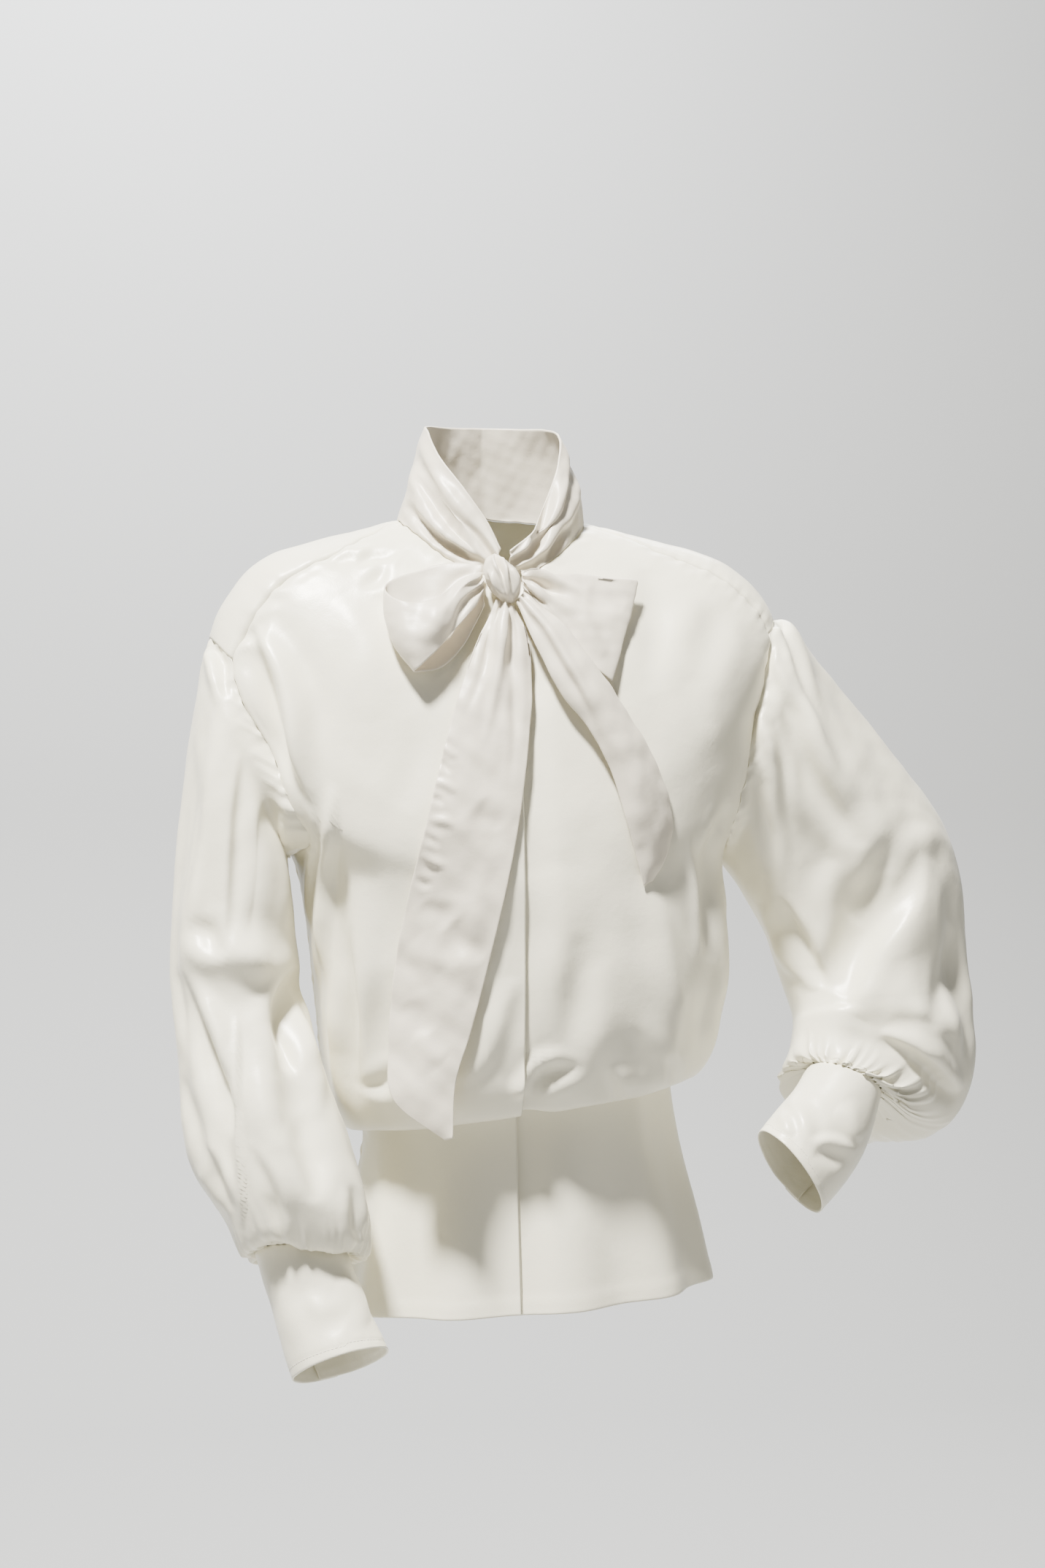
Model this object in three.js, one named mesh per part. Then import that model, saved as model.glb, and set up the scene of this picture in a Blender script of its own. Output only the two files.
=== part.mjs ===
import * as THREE from 'three';

// A long-sleeved blouse with a soft band tied in a bow, held in its worn form, in millimetres.
// X runs to the wearer's left, -Y is the front and Z is up.
// The origin is the middle of the neck opening, level with the tops of the shoulder seams.

const WALL = 1.5;
const SEAM_GAP = 0.3;
const SET_IN_GAP = 0.4;
const BAND_GAP = 0.6;
const LAP_STEP = 2.1;
const IVORY = 0xeee9dd;
const IVORY_TIE = 0xe9e3d6;
const ROUGHNESS = 0.5;
const QUARTER_TURN = 90;
const HALF_TURN = 180;
const FULL_TURN = 360;

// Levels of the body's rings that the seams meet.
const NECK_LEVEL = 0;
const SHOULDER_LEVEL = 3;
const UNDERARM_LEVEL = 6;
const HEM_LEVEL = 19;
const NORMAL_STEP = 0.1;
const LOWEST_LEVEL = 11.5;
const FACE_SEARCH_TURNS = 30;
const FACE_SEARCH_STEPS = 20;
const FACE_SEARCH_PACE = 0.8;

// Centre front, sideways from the neck's middle: the folded edge, the strips that the hidden lap is
// divided into, how far the placket shows and where the left front comes level with the right.
const LAP_EDGE = 6.5;
const LAP_STRIP = 14;
const LAP_STRIPS = 2;
const PLACKET_SHOWS = 0.8;
const LAP_BLEND_START = 9;
const LAP_BLEND_END = 34;

// Body rings. half: half width at the sides. side, frontZ and backZ: heights at the sides, front and
// back. front and back: depths. shift: sideways. tilt: rise from the right side to the left.
// round: 2 is an ellipse and more is squarer.
const BODY_RINGS = numbered([
  { half: 70, side: 0, front: 62, frontZ: -45, back: 56, backZ: 8, shift: 0, tilt: 0, round: 2 },
  { half: 128, side: -13.5, front: 83, frontZ: -86, back: 79, backZ: -22, shift: 1, tilt: 1, round: 2 },
  { half: 180, side: -33, front: 105, frontZ: -150, back: 96, backZ: -75, shift: 2, tilt: 2, round: 2 },
  { half: 212, side: -79, front: 118, frontZ: -212, back: 105, backZ: -135, shift: 3, tilt: 9, round: 2 },
  { half: 206, side: -133, front: 122, frontZ: -236, back: 107, backZ: -180, shift: 2, tilt: 3, round: 2.05 },
  { half: 195, side: -190, front: 124, frontZ: -252, back: 107, backZ: -225, shift: 4, tilt: 0, round: 2.05 },
  { half: 162, side: -246, front: 126, frontZ: -270, back: 105, backZ: -264, shift: 12, tilt: 1, round: 2.12 },
  { half: 157, side: -290, front: 126, frontZ: -300, back: 102, backZ: -298, shift: 19, tilt: 4, round: 2.25 },
  { half: 153, side: -338, front: 126, frontZ: -340, back: 99, backZ: -339, shift: 22, tilt: 9, round: 2.45 },
  { half: 147, side: -378, front: 124, frontZ: -378, back: 97, backZ: -378, shift: 20, tilt: 14, round: 2.45 },
  { half: 142, side: -406, front: 119, frontZ: -406, back: 93, backZ: -406, shift: 20, tilt: 17, round: 2.4 },
  { half: 134, side: -424, front: 111, frontZ: -424, back: 85, backZ: -424, shift: 20, tilt: 18, round: 2.35 },
  { half: 128, side: -429, front: 104, frontZ: -428, back: 80, backZ: -428, shift: 20, tilt: 18, round: 2.3 },
  { half: 124, side: -420, front: 96, frontZ: -420, back: 77, backZ: -420, shift: 20, tilt: 18, round: 2.3 },
  { half: 120, side: -411, front: 91, frontZ: -411, back: 74, backZ: -411, shift: 20, tilt: 18, round: 2.3 },
  { half: 116, side: -416, front: 86, frontZ: -416, back: 71, backZ: -416, shift: 20, tilt: 18, round: 2.25 },
  { half: 115, side: -438, front: 84, frontZ: -438, back: 71, backZ: -438, shift: 20, tilt: 17, round: 2.2 },
  { half: 121, side: -480, front: 90, frontZ: -480, back: 78, backZ: -480, shift: 21, tilt: 14, round: 2.15 },
  { half: 132, side: -526, front: 99, frontZ: -526, back: 88, backZ: -526, shift: 22, tilt: 11, round: 2.1 },
  { half: 141, side: -570, front: 107, frontZ: -570, back: 95, backZ: -570, shift: 23, tilt: 8, round: 2.1 },
]);

// Levels at which the body is cut into rows.
const BODY_LEVELS_ABOVE = [0, 0.6, 1.2, 1.8, 2.4, 3];
const BODY_LEVELS_ARMHOLE = [3, 3.4, 3.8, 4.2, 4.6, 5, 5.35, 5.65, 5.85, 6];
const BODY_LEVELS_BELOW = [
  6, 6.6, 7.2, 7.8, 8.4, 9, 9.6, 10.2, 10.8, 11.4, 12, 13, 13.6, 14.3, 15, 16, 17, 18, 19,
];
const FRONT_COLUMNS = 10;
const BACK_COLUMNS = 16;
const CREST_COLUMNS = 2;

// Forward shoulder seams, in degrees from the centre front.
const SHOULDER_SEAM = [
  { at: 0, right: 82, left: 84 },
  { at: 0.5, right: 72, left: 76 },
  { at: 1, right: 66, left: 71 },
  { at: 2, right: 66, left: 70 },
  { at: 3, right: 68, left: 72 },
];

// Armhole edges, in degrees from the centre front.
const ARMHOLES = [
  { at: 3, frontRight: 68, frontLeft: 72, back: 107 },
  { at: 4, frontRight: 58, frontLeft: 66, back: 115 },
  { at: 5, frontRight: 52, frontLeft: 64, back: 120 },
  { at: 5.6, frontRight: 57, frontLeft: 70, back: 115 },
  { at: 5.85, frontRight: 69, frontLeft: 79, back: 105 },
  { at: 6, frontRight: 90, frontLeft: 90, back: 90 },
];

// Soft folds of the body, mm out (+) or in (-). angle: at the fold's top, in degrees round to the
// wearer's left. lean: degrees it moves for each level down. from and to: levels. width: degrees.
const BODY_FOLDS = [
  { angle: -46, lean: -2, from: 5.2, to: 11, width: 5, depth: 3.5 },
  { angle: -55, lean: -1.5, from: 5.6, to: 11, width: 5, depth: -5 },
  { angle: -67, lean: -1, from: 6.2, to: 11, width: 5, depth: 3 },
  { angle: -38, lean: 2, from: 1.5, to: 5.5, width: 9, depth: -3 },
  { angle: -24, lean: -3, from: 8.4, to: 12.4, width: 6, depth: -4 },
  { angle: 13, lean: 3, from: 8.8, to: 12.6, width: 5, depth: -5 },
  { angle: 30, lean: 2, from: 7.2, to: 12.4, width: 7, depth: 4 },
  { angle: 47, lean: 2.5, from: 7, to: 12.4, width: 7, depth: -4 },
  { angle: 62, lean: 1.5, from: 6, to: 12, width: 7, depth: 5 },
  { angle: 76, lean: 1, from: 6.4, to: 12.2, width: 6, depth: -4 },
  { angle: 104, lean: 2, from: 6.2, to: 12.2, width: 7, depth: 5 },
  { angle: 122, lean: 1, from: 6.2, to: 12.4, width: 7, depth: -5 },
  { angle: 146, lean: 2, from: 3.6, to: 12.2, width: 8, depth: 4 },
  { angle: 168, lean: -1, from: 7, to: 12.6, width: 7, depth: -5 },
  { angle: 193, lean: 1, from: 4, to: 12.4, width: 8, depth: 4 },
  { angle: 214, lean: -2, from: 6.8, to: 12.4, width: 7, depth: -5 },
  { angle: 236, lean: -1, from: 4.6, to: 12.2, width: 8, depth: 5 },
  { angle: 256, lean: -1.5, from: 6.3, to: 12.2, width: 7, depth: -4 },
];

// Soft pleats that take up the fullness below the waist.
const TAIL_PLEATS = 11;
const TAIL_PLEAT_DEPTH = 4;
const TAIL_PLEAT_START = 15.2;

// Sleeve rings below the armhole. outX, outY and outZ: the point away from the body. inX, inY and
// inZ: the point toward it. front and back: depths from that line. lean: the front point's rise.
const SLEEVE_RIGHT_RINGS = numbered([
  { outX: -215, outY: -3, outZ: -113, inX: -153, inY: -16, inZ: -252, front: 58, back: 60, lean: 0 },
  { outX: -220, outY: -5, outZ: -148, inX: -151, inY: -31, inZ: -269, front: 56, back: 64, lean: 0 },
  { outX: -226, outY: -8, outZ: -190, inX: -149, inY: -40, inZ: -287, front: 54, back: 66, lean: 0 },
  { outX: -231, outY: -13, outZ: -236, inX: -149, inY: -45, inZ: -305, front: 52, back: 66, lean: 0 },
  { outX: -234, outY: -18, outZ: -282, inX: -149, inY: -48, inZ: -323, front: 53, back: 63, lean: 0 },
  { outX: -236, outY: -25, outZ: -325, inX: -150, inY: -48, inZ: -341, front: 53, back: 60, lean: 0 },
  { outX: -233, outY: -34, outZ: -366, inX: -145, inY: -55, inZ: -362, front: 53, back: 60, lean: 4 },
  { outX: -230, outY: -44, outZ: -403, inX: -133, inY: -66, inZ: -392, front: 54, back: 60, lean: 8 },
  { outX: -228, outY: -56, outZ: -438, inX: -121, inY: -77, inZ: -426, front: 55, back: 60, lean: 12 },
  { outX: -222, outY: -68, outZ: -468, inX: -110, inY: -88, inZ: -462, front: 56, back: 58, lean: 16 },
  { outX: -209, outY: -78, outZ: -491, inX: -102, inY: -97, inZ: -490, front: 55, back: 55, lean: 18 },
  { outX: -196, outY: -84, outZ: -506, inX: -101, inY: -101, inZ: -509, front: 49, back: 48, lean: 20 },
  { outX: -186, outY: -86, outZ: -517, inX: -107, inY: -98, inZ: -517, front: 41, back: 40, lean: 20 },
  { outX: -180, outY: -86, outZ: -524, inX: -115, inY: -94, inZ: -524, front: 33, back: 33, lean: 20 },
], 1);
const SLEEVE_LEFT_RINGS = numbered([
  { outX: 232, outY: 3, outZ: -74, inX: 179, inY: 3, inZ: -256, front: 60, back: 54, lean: 0 },
  { outX: 255, outY: 10, outZ: -104, inX: 192, inY: 4, inZ: -273, front: 62, back: 56, lean: 0 },
  { outX: 290, outY: 18, outZ: -142, inX: 204, inY: 7, inZ: -292, front: 63, back: 58, lean: 0 },
  { outX: 323, outY: 26, outZ: -180, inX: 214, inY: 8, inZ: -308, front: 64, back: 58, lean: 0 },
  { outX: 350, outY: 32, outZ: -215, inX: 219, inY: 6, inZ: -322, front: 64, back: 58, lean: 0 },
  { outX: 366, outY: 33, outZ: -250, inX: 223, inY: 2, inZ: -335, front: 63, back: 58, lean: 0 },
  { outX: 371, outY: 29, outZ: -292, inX: 227, inY: -5, inZ: -347, front: 62, back: 58, lean: 2 },
  { outX: 370, outY: 22, outZ: -332, inX: 230, inY: -13, inZ: -357, front: 60, back: 58, lean: 5 },
  { outX: 369, outY: 12, outZ: -370, inX: 232, inY: -22, inZ: -365, front: 58, back: 58, lean: 8 },
  { outX: 367, outY: 2, outZ: -407, inX: 232, inY: -31, inZ: -370, front: 56, back: 62, lean: 22 },
  { outX: 358, outY: -6, outZ: -438, inX: 232, inY: -38, inZ: -378, front: 51, back: 66, lean: 33 },
  { outX: 338, outY: -14, outZ: -458, inX: 232, inY: -44, inZ: -386, front: 44, back: 68, lean: 40 },
  { outX: 309, outY: -28, outZ: -451, inX: 233, inY: -49, inZ: -394, front: 37, back: 53, lean: 34 },
  { outX: 283, outY: -45, outZ: -429, inX: 236, inY: -53, inZ: -401, front: 31, back: 33, lean: 20 },
], 1);
const SLEEVE_LEVELS = [0.4, 1, 1.8, 2.7, 3.6, 4.4, 5.2, 6, 6.7, 7.4, 8.2, 9, 9.8, 10.5, 11.2, 11.9, 12.5];
const GATHER_LEVELS = [12.95, 13.45, 14];
const GATHERS_PER_COLUMN = 3;
const GATHER_DEPTH = 1.3;
const GATHER_START = 12.3;

// Sleeve folds, mm out (+) or in (-). angle: 0 away from the body, 90 at the front. lean: degrees
// for each ring down. from and to: rings. width: degrees.
const SLEEVE_RIGHT_FOLDS = [
  { angle: 62, lean: 1, from: 0.4, to: 6, width: 12, depth: 5 },
  { angle: 92, lean: 2, from: 0.6, to: 5, width: 12, depth: -5 },
  { angle: 124, lean: -1, from: 0.4, to: 7, width: 13, depth: 5 },
  { angle: 30, lean: 1.5, from: 1.5, to: 12.6, width: 12, depth: -4 },
  { angle: 60, lean: 1, from: 5.4, to: 12.8, width: 11, depth: -5 },
  { angle: 100, lean: 0, from: 6.2, to: 12.9, width: 13, depth: 5 },
  { angle: 135, lean: -2, from: 5.8, to: 12.4, width: 12, depth: -5 },
  { angle: 156, lean: 1, from: 8, to: 12.9, width: 12, depth: 5 },
  { angle: 205, lean: 1, from: 2, to: 12, width: 14, depth: 5 },
  { angle: 240, lean: -1, from: 1.5, to: 12.6, width: 13, depth: -5 },
  { angle: 282, lean: 1, from: 3, to: 12.6, width: 14, depth: 5 },
  { angle: 322, lean: -1, from: 2, to: 12.2, width: 13, depth: -4 },
];
const SLEEVE_LEFT_FOLDS = [
  { angle: 28, lean: 2, from: 0.5, to: 5, width: 12, depth: -4 },
  { angle: 66, lean: 3, from: 0.5, to: 6.5, width: 12, depth: 5 },
  { angle: 104, lean: 3, from: 0.5, to: 7.4, width: 12, depth: -6 },
  { angle: 140, lean: 1, from: 0.6, to: 8, width: 12, depth: 5 },
  { angle: 54, lean: -3, from: 5.6, to: 11.6, width: 14, depth: -8 },
  { angle: 96, lean: -2, from: 7.4, to: 12.8, width: 14, depth: 7 },
  { angle: 30, lean: -1, from: 8, to: 12.8, width: 13, depth: 5 },
  { angle: 128, lean: 0, from: 8.4, to: 12.9, width: 12, depth: -4 },
  { angle: 205, lean: 2, from: 1, to: 7, width: 14, depth: -5 },
  { angle: 238, lean: 1, from: 2, to: 12.6, width: 14, depth: 5 },
  { angle: 280, lean: -1, from: 2, to: 12.6, width: 14, depth: -6 },
  { angle: 318, lean: 1, from: 3, to: 12.4, width: 14, depth: 5 },
];

// Cuff rings, with the same columns as the sleeve rings.
const CUFF_RIGHT_RINGS = numbered([
  { outX: -180, outY: -86.2, outZ: -524.5, inX: -115, inY: -94.2, inZ: -524.5, front: 33, back: 33, lean: 20 },
  { outX: -172, outY: -97, outZ: -550, inX: -108, inY: -106, inZ: -546, front: 32, back: 32, lean: 22 },
  { outX: -164, outY: -108, outZ: -578, inX: -98, inY: -118, inZ: -569, front: 33, back: 33, lean: 24 },
  { outX: -155, outY: -120, outZ: -608, inX: -90, inY: -130, inZ: -585, front: 34, back: 34, lean: 26 },
]);
const CUFF_LEFT_RINGS = numbered([
  { outX: 282.6, outY: -45.4, outZ: -429.6, inX: 235.6, inY: -53.4, inZ: -401.6, front: 31, back: 33, lean: 20 },
  { outX: 273, outY: -57, outZ: -454, inX: 220, inY: -65, inZ: -418, front: 31, back: 32, lean: 20 },
  { outX: 258, outY: -68, outZ: -479, inX: 204, inY: -76, inZ: -431, front: 31, back: 32, lean: 22 },
  { outX: 228, outY: -80, outZ: -508, inX: 188, inY: -87, inZ: -446, front: 30, back: 31, lean: 22 },
]);
const CUFF_LEVELS = [0, 0.75, 1.5, 2.25, 3];
const CUFF_COLUMNS = 32;
const CUFF_LAP = 24;
const CUFF_LAP_BLEND = 20;
const CUFF_LAP_START = { right: 285, left: 300 };

// The band's top edge from the centre front round to the back: angle from the centre front in
// degrees, reach from the neck's middle, depth forward (-) or back and height, for each side.
const BAND_TOP = [
  { at: 5, rightX: -3, rightY: -68, rightZ: -26, leftX: 5, leftY: -68, leftZ: -27 },
  { at: 16, rightX: -12, rightY: -60, rightZ: -4, leftX: 17, leftY: -60, leftZ: -17 },
  { at: 34, rightX: -27, rightY: -50, rightZ: 20, leftX: 31, leftY: -49, leftZ: 2 },
  { at: 56, rightX: -42, rightY: -33, rightZ: 44, leftX: 44, leftY: -33, leftZ: 34 },
  { at: 82, rightX: -49, rightY: -10, rightZ: 66, leftX: 51, leftY: -12, leftZ: 62 },
  { at: 115, rightX: -46, rightY: 20, rightZ: 74, leftX: 46, leftY: 18, leftZ: 73 },
  { at: 150, rightX: -26, rightY: 40, rightZ: 76, leftX: 26, leftY: 39, leftZ: 76 },
  { at: 180, rightX: 0, rightY: 47, rightZ: 77, leftX: 0, leftY: 47, leftZ: 77 },
];
const BAND_END = 5;
const BAND_COLUMNS = 36;
const BAND_ROWS = 5;
const BAND_BULGE = { right: 0, left: 4 };
const BAND_BULGE_START = 20;
const BAND_BULGE_FULL = 60;
const BAND_FOLDS = [
  { up: 0.3, rise: 0.25, depth: 2.6 },
  { up: 0.52, rise: 0.2, depth: -2.4 },
  { up: 0.74, rise: 0.12, depth: 2.2 },
];
const BAND_FOLD_WIDTH = 0.1;
const BAND_FOLD_END = 120;

// The knot: sections down its slanted length. x, y and z: the middle. half and deep: half sizes.
const KNOT_SECTIONS = numbered([
  { x: -8, y: -76, z: -32, half: 4, deep: 5 },
  { x: -7, y: -77, z: -36, half: 8.5, deep: 10 },
  { x: -4, y: -79, z: -43, half: 12, deep: 13.5 },
  { x: -2, y: -80, z: -51, half: 12.5, deep: 13.5 },
  { x: 0, y: -81, z: -59, half: 9.5, deep: 11 },
  { x: 2, y: -82, z: -65, half: 4, deep: 5 },
]);
const KNOT_ROWS = 10;
const KNOT_COLUMNS = 18;
const KNOT_CREASE = 2.4;
const KNOT_CREASE_NARROWS = 0.3;
const KNOT_CREASE_ANGLE = 84;
const KNOT_CREASE_WIDTH = 15;

// Ribbons. topX, topZ, lowX and lowZ: the strip's two edges. topOff and lowOff: how far they stand
// in front of the body. belly and swell: how far the middle stands out beyond them and sideways.
const LOOP_RIGHT = numbered([
  { topX: -17, topOff: 16, topZ: -43, lowX: -16, lowOff: 13, lowZ: -57, belly: 3, swell: 0 },
  { topX: -35, topOff: 22, topZ: -50, lowX: -32, lowOff: 19, lowZ: -78, belly: 4, swell: 0 },
  { topX: -55, topOff: 27, topZ: -64, lowX: -49, lowOff: 22, lowZ: -97, belly: 5, swell: 0 },
  { topX: -76, topOff: 27, topZ: -66, lowX: -64, lowOff: 21, lowZ: -111, belly: 4, swell: -4 },
  { topX: -87, topOff: 18, topZ: -58, lowX: -70, lowOff: 15, lowZ: -116, belly: -3, swell: -8 },
  { topX: -83, topOff: 10, topZ: -50, lowX: -66, lowOff: 8, lowZ: -117, belly: -3, swell: -6 },
  { topX: -62, topOff: 7, topZ: -42, lowX: -48, lowOff: 5, lowZ: -112, belly: -1, swell: -2 },
  { topX: -39, topOff: 8, topZ: -36, lowX: -32, lowOff: 5, lowZ: -96, belly: -1, swell: 0 },
  { topX: -16, topOff: 8, topZ: -38, lowX: -16, lowOff: 7, lowZ: -68, belly: -1, swell: 0 },
]);
const LOOP_LEFT = numbered([
  { topX: 11.5, topOff: 15, topZ: -43, lowX: 12.5, lowOff: 12, lowZ: -56, belly: 2, swell: 0 },
  { topX: 33, topOff: 15, topZ: -43, lowX: 30, lowOff: 13, lowZ: -80, belly: 3, swell: 0 },
  { topX: 54, topOff: 15, topZ: -43, lowX: 49, lowOff: 13, lowZ: -103, belly: 2, swell: 0 },
  { topX: 79, topOff: 15, topZ: -46, lowX: 64, lowOff: 13, lowZ: -115, belly: 1, swell: 0 },
  { topX: 98, topOff: 11, topZ: -48, lowX: 73, lowOff: 9, lowZ: -122, belly: 0, swell: 1 },
  { topX: 92, topOff: 6, topZ: -45, lowX: 70, lowOff: 5, lowZ: -121, belly: 0, swell: 0 },
  { topX: 66, topOff: 6, topZ: -41, lowX: 53, lowOff: 5, lowZ: -110, belly: 0, swell: 0 },
  { topX: 41, topOff: 7, topZ: -39, lowX: 35, lowOff: 5, lowZ: -92, belly: 0, swell: 0 },
  { topX: 12.5, topOff: 5, topZ: -41, lowX: 14, lowOff: 6, lowZ: -65, belly: 0, swell: 0 },
]);
const TAIL_LONG = numbered([
  { topX: -8, topOff: 11, topZ: -63, lowX: 5, lowOff: 11, lowZ: -68, belly: 2, swell: 0 },
  { topX: -27, topOff: 6, topZ: -103, lowX: 14, lowOff: 7, lowZ: -92, belly: 5, swell: 0 },
  { topX: -41, topOff: 5, topZ: -142, lowX: 15, lowOff: 5, lowZ: -128, belly: 4, swell: 0 },
  { topX: -53, topOff: 5, topZ: -184, lowX: 10, lowOff: 5, lowZ: -172, belly: 3, swell: 0 },
  { topX: -64, topOff: 4, topZ: -228, lowX: 3, lowOff: 5, lowZ: -218, belly: 3, swell: 0 },
  { topX: -75, topOff: 4, topZ: -276, lowX: -7, lowOff: 5, lowZ: -266, belly: 3, swell: 0 },
  { topX: -84, topOff: 6, topZ: -326, lowX: -19, lowOff: 6, lowZ: -316, belly: 3, swell: 0 },
  { topX: -88, topOff: 13, topZ: -374, lowX: -32, lowOff: 8, lowZ: -366, belly: 3, swell: 0 },
  { topX: -86, topOff: 30, topZ: -414, lowX: -43, lowOff: 17, lowZ: -402, belly: 3, swell: 0 },
  { topX: -51, topOff: 38, topZ: -442, lowX: -46, lowOff: 38, lowZ: -440, belly: 0, swell: 0 },
]);
const TAIL_SHORT = numbered([
  { topX: 5.5, topOff: 14, topZ: -65, lowX: 12, lowOff: 15, lowZ: -57, belly: 3, swell: 0 },
  { topX: 18, topOff: 14, topZ: -97, lowX: 37, lowOff: 21, lowZ: -80, belly: 5, swell: 0 },
  { topX: 34, topOff: 12, topZ: -131, lowX: 60, lowOff: 18, lowZ: -111, belly: 8, swell: 0 },
  { topX: 53, topOff: 10, topZ: -156, lowX: 82, lowOff: 10, lowZ: -142, belly: 9, swell: 0 },
  { topX: 68, topOff: 7, topZ: -184, lowX: 102, lowOff: 5, lowZ: -175, belly: 9, swell: 0 },
  { topX: 79, topOff: 5, topZ: -218, lowX: 115, lowOff: 4, lowZ: -210, belly: 8, swell: 0 },
  { topX: 87, topOff: 4, topZ: -246, lowX: 114, lowOff: 4, lowZ: -238, belly: 5, swell: 0 },
  { topX: 93, topOff: 4, topZ: -267, lowX: 101, lowOff: 4, lowZ: -264, belly: 1, swell: 0 },
]);
const LOOP_COLUMNS = 20;
const LOOP_ROWS = 6;
const TAIL_LONG_COLUMNS = 22;
const TAIL_SHORT_COLUMNS = 16;
const TAIL_ROWS = 5;
const RIBBON_PLEATS = 2.5;
const RIBBON_PLEAT_DEPTH = 2.2;
const RIBBON_PLEAT_REACH = 0.22;

// Gives the rows of a table their places in order.
function numbered(rows, first = 0) {
  return rows.map((row, i) => ({ at: first + i, ...row }));
}

function radians(degrees) {
  return (degrees * Math.PI) / HALF_TURN;
}

function clamp(value, low, high) {
  return Math.min(Math.max(value, low), high);
}

function smoothStep(low, high, value) {
  const t = clamp((value - low) / (high - low), 0, 1);
  return t * t * (3 - 2 * t);
}

function bell(distance, width) {
  const t = clamp(Math.abs(distance) / (2 * width), 0, 1);
  return (1 - t * t) ** 3;
}

function mix(a, b, t) {
  return a + (b - a) * t;
}

// All columns of a table at one place between its rows, on a smooth curve.
function rowAt(rows, at) {
  const last = rows.length - 1;
  let i = 0;
  while (i < last - 1 && at > rows[i + 1].at) {
    i += 1;
  }
  const here = rows[i];
  const next = rows[i + 1];
  const before = rows[Math.max(i - 1, 0)];
  const after = rows[Math.min(i + 2, last)];
  const span = next.at - here.at;
  const t = clamp((at - here.at) / span, 0, 1);
  const row = {};
  for (const name of Object.keys(here)) {
    const slopeHere = ((next[name] - before[name]) / (next.at - before.at)) * span;
    const slopeNext = ((after[name] - here[name]) / (after.at - here.at)) * span;
    row[name] = (2 * t ** 3 - 3 * t ** 2 + 1) * here[name]
      + (t ** 3 - 2 * t ** 2 + t) * slopeHere
      + (3 * t ** 2 - 2 * t ** 3) * next[name]
      + (t ** 3 - t ** 2) * slopeNext;
  }
  return row;
}

// Sum of the folds of one table at a place.
function foldHeight(folds, angle, level) {
  let height = 0;
  for (const fold of folds) {
    if (level > fold.from && level < fold.to) {
      const middle = fold.angle + fold.lean * (level - fold.from);
      const turn = angle - middle;
      const nearest = turn - FULL_TURN * Math.round(turn / FULL_TURN);
      const along = (level - fold.from) / (fold.to - fold.from);
      height += fold.depth * Math.sin(Math.PI * along) * bell(nearest, fold.width);
    }
  }
  return height;
}

// A point of the body's outer face.
function bodyPoint(angle, level) {
  const ring = rowAt(BODY_RINGS, level);
  const across = Math.sin(radians(angle));
  const forward = Math.cos(radians(angle));
  const squareX = Math.sign(across) * Math.abs(across) ** (2 / ring.round);
  const squareY = Math.sign(forward) * Math.abs(forward) ** (2 / ring.round);
  const depth = forward > 0 ? ring.front : ring.back;
  const middleZ = forward > 0 ? ring.frontZ : ring.backZ;
  const pleat = Math.sin(TAIL_PLEATS * radians(angle)) * TAIL_PLEAT_DEPTH;
  const out = foldHeight(BODY_FOLDS, angle, level)
    + pleat * smoothStep(TAIL_PLEAT_START, HEM_LEVEL, level);
  const x = ring.shift + (ring.half + out) * squareX;
  const y = -(depth + out) * squareY;
  const z = ring.side * across ** 2 + middleZ * forward ** 2 + ring.tilt * across;
  return new THREE.Vector3(x, y, z);
}

// The direction that the body's outer face looks in.
function bodyNormal(angle, level) {
  const above = Math.max(level - NORMAL_STEP, NECK_LEVEL);
  const below = Math.min(level + NORMAL_STEP, HEM_LEVEL);
  const down = bodyPoint(angle, below).sub(bodyPoint(angle, above));
  const round = bodyPoint(angle + 1, level).sub(bodyPoint(angle - 1, level));
  return down.cross(round).normalize();
}

// How far an angle is moved so that a seam stays open by half a gap.
function seamAngle(level) {
  const ring = rowAt(BODY_RINGS, level);
  const reach = Math.max(Math.min(ring.half, ring.front), 1);
  return ((SEAM_GAP / 2 / reach) * HALF_TURN) / Math.PI;
}

// The angle round the body at which a level passes a place beside the middle.
function angleBeside(x, level) {
  const ring = rowAt(BODY_RINGS, level);
  const part = clamp((x - ring.shift) / ring.half, -1, 1);
  return (Math.asin(Math.sign(part) * Math.abs(part) ** (ring.round / 2)) * HALF_TURN) / Math.PI;
}

// The body's front face at a place seen from the front.
function frontPoint(x, z) {
  let angle = 0;
  let point = bodyPoint(angle, NECK_LEVEL);
  for (let turn = 0; turn < FACE_SEARCH_TURNS; turn += 1) {
    let high = NECK_LEVEL;
    let low = LOWEST_LEVEL;
    for (let step = 0; step < FACE_SEARCH_STEPS; step += 1) {
      const middle = (high + low) / 2;
      point = bodyPoint(angle, middle);
      if (point.z > z) {
        high = middle;
      } else {
        low = middle;
      }
    }
    const miss = (x - point.x) / rowAt(BODY_RINGS, high).half;
    angle += (FACE_SEARCH_PACE * miss * HALF_TURN) / Math.PI;
  }
  return point;
}

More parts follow.
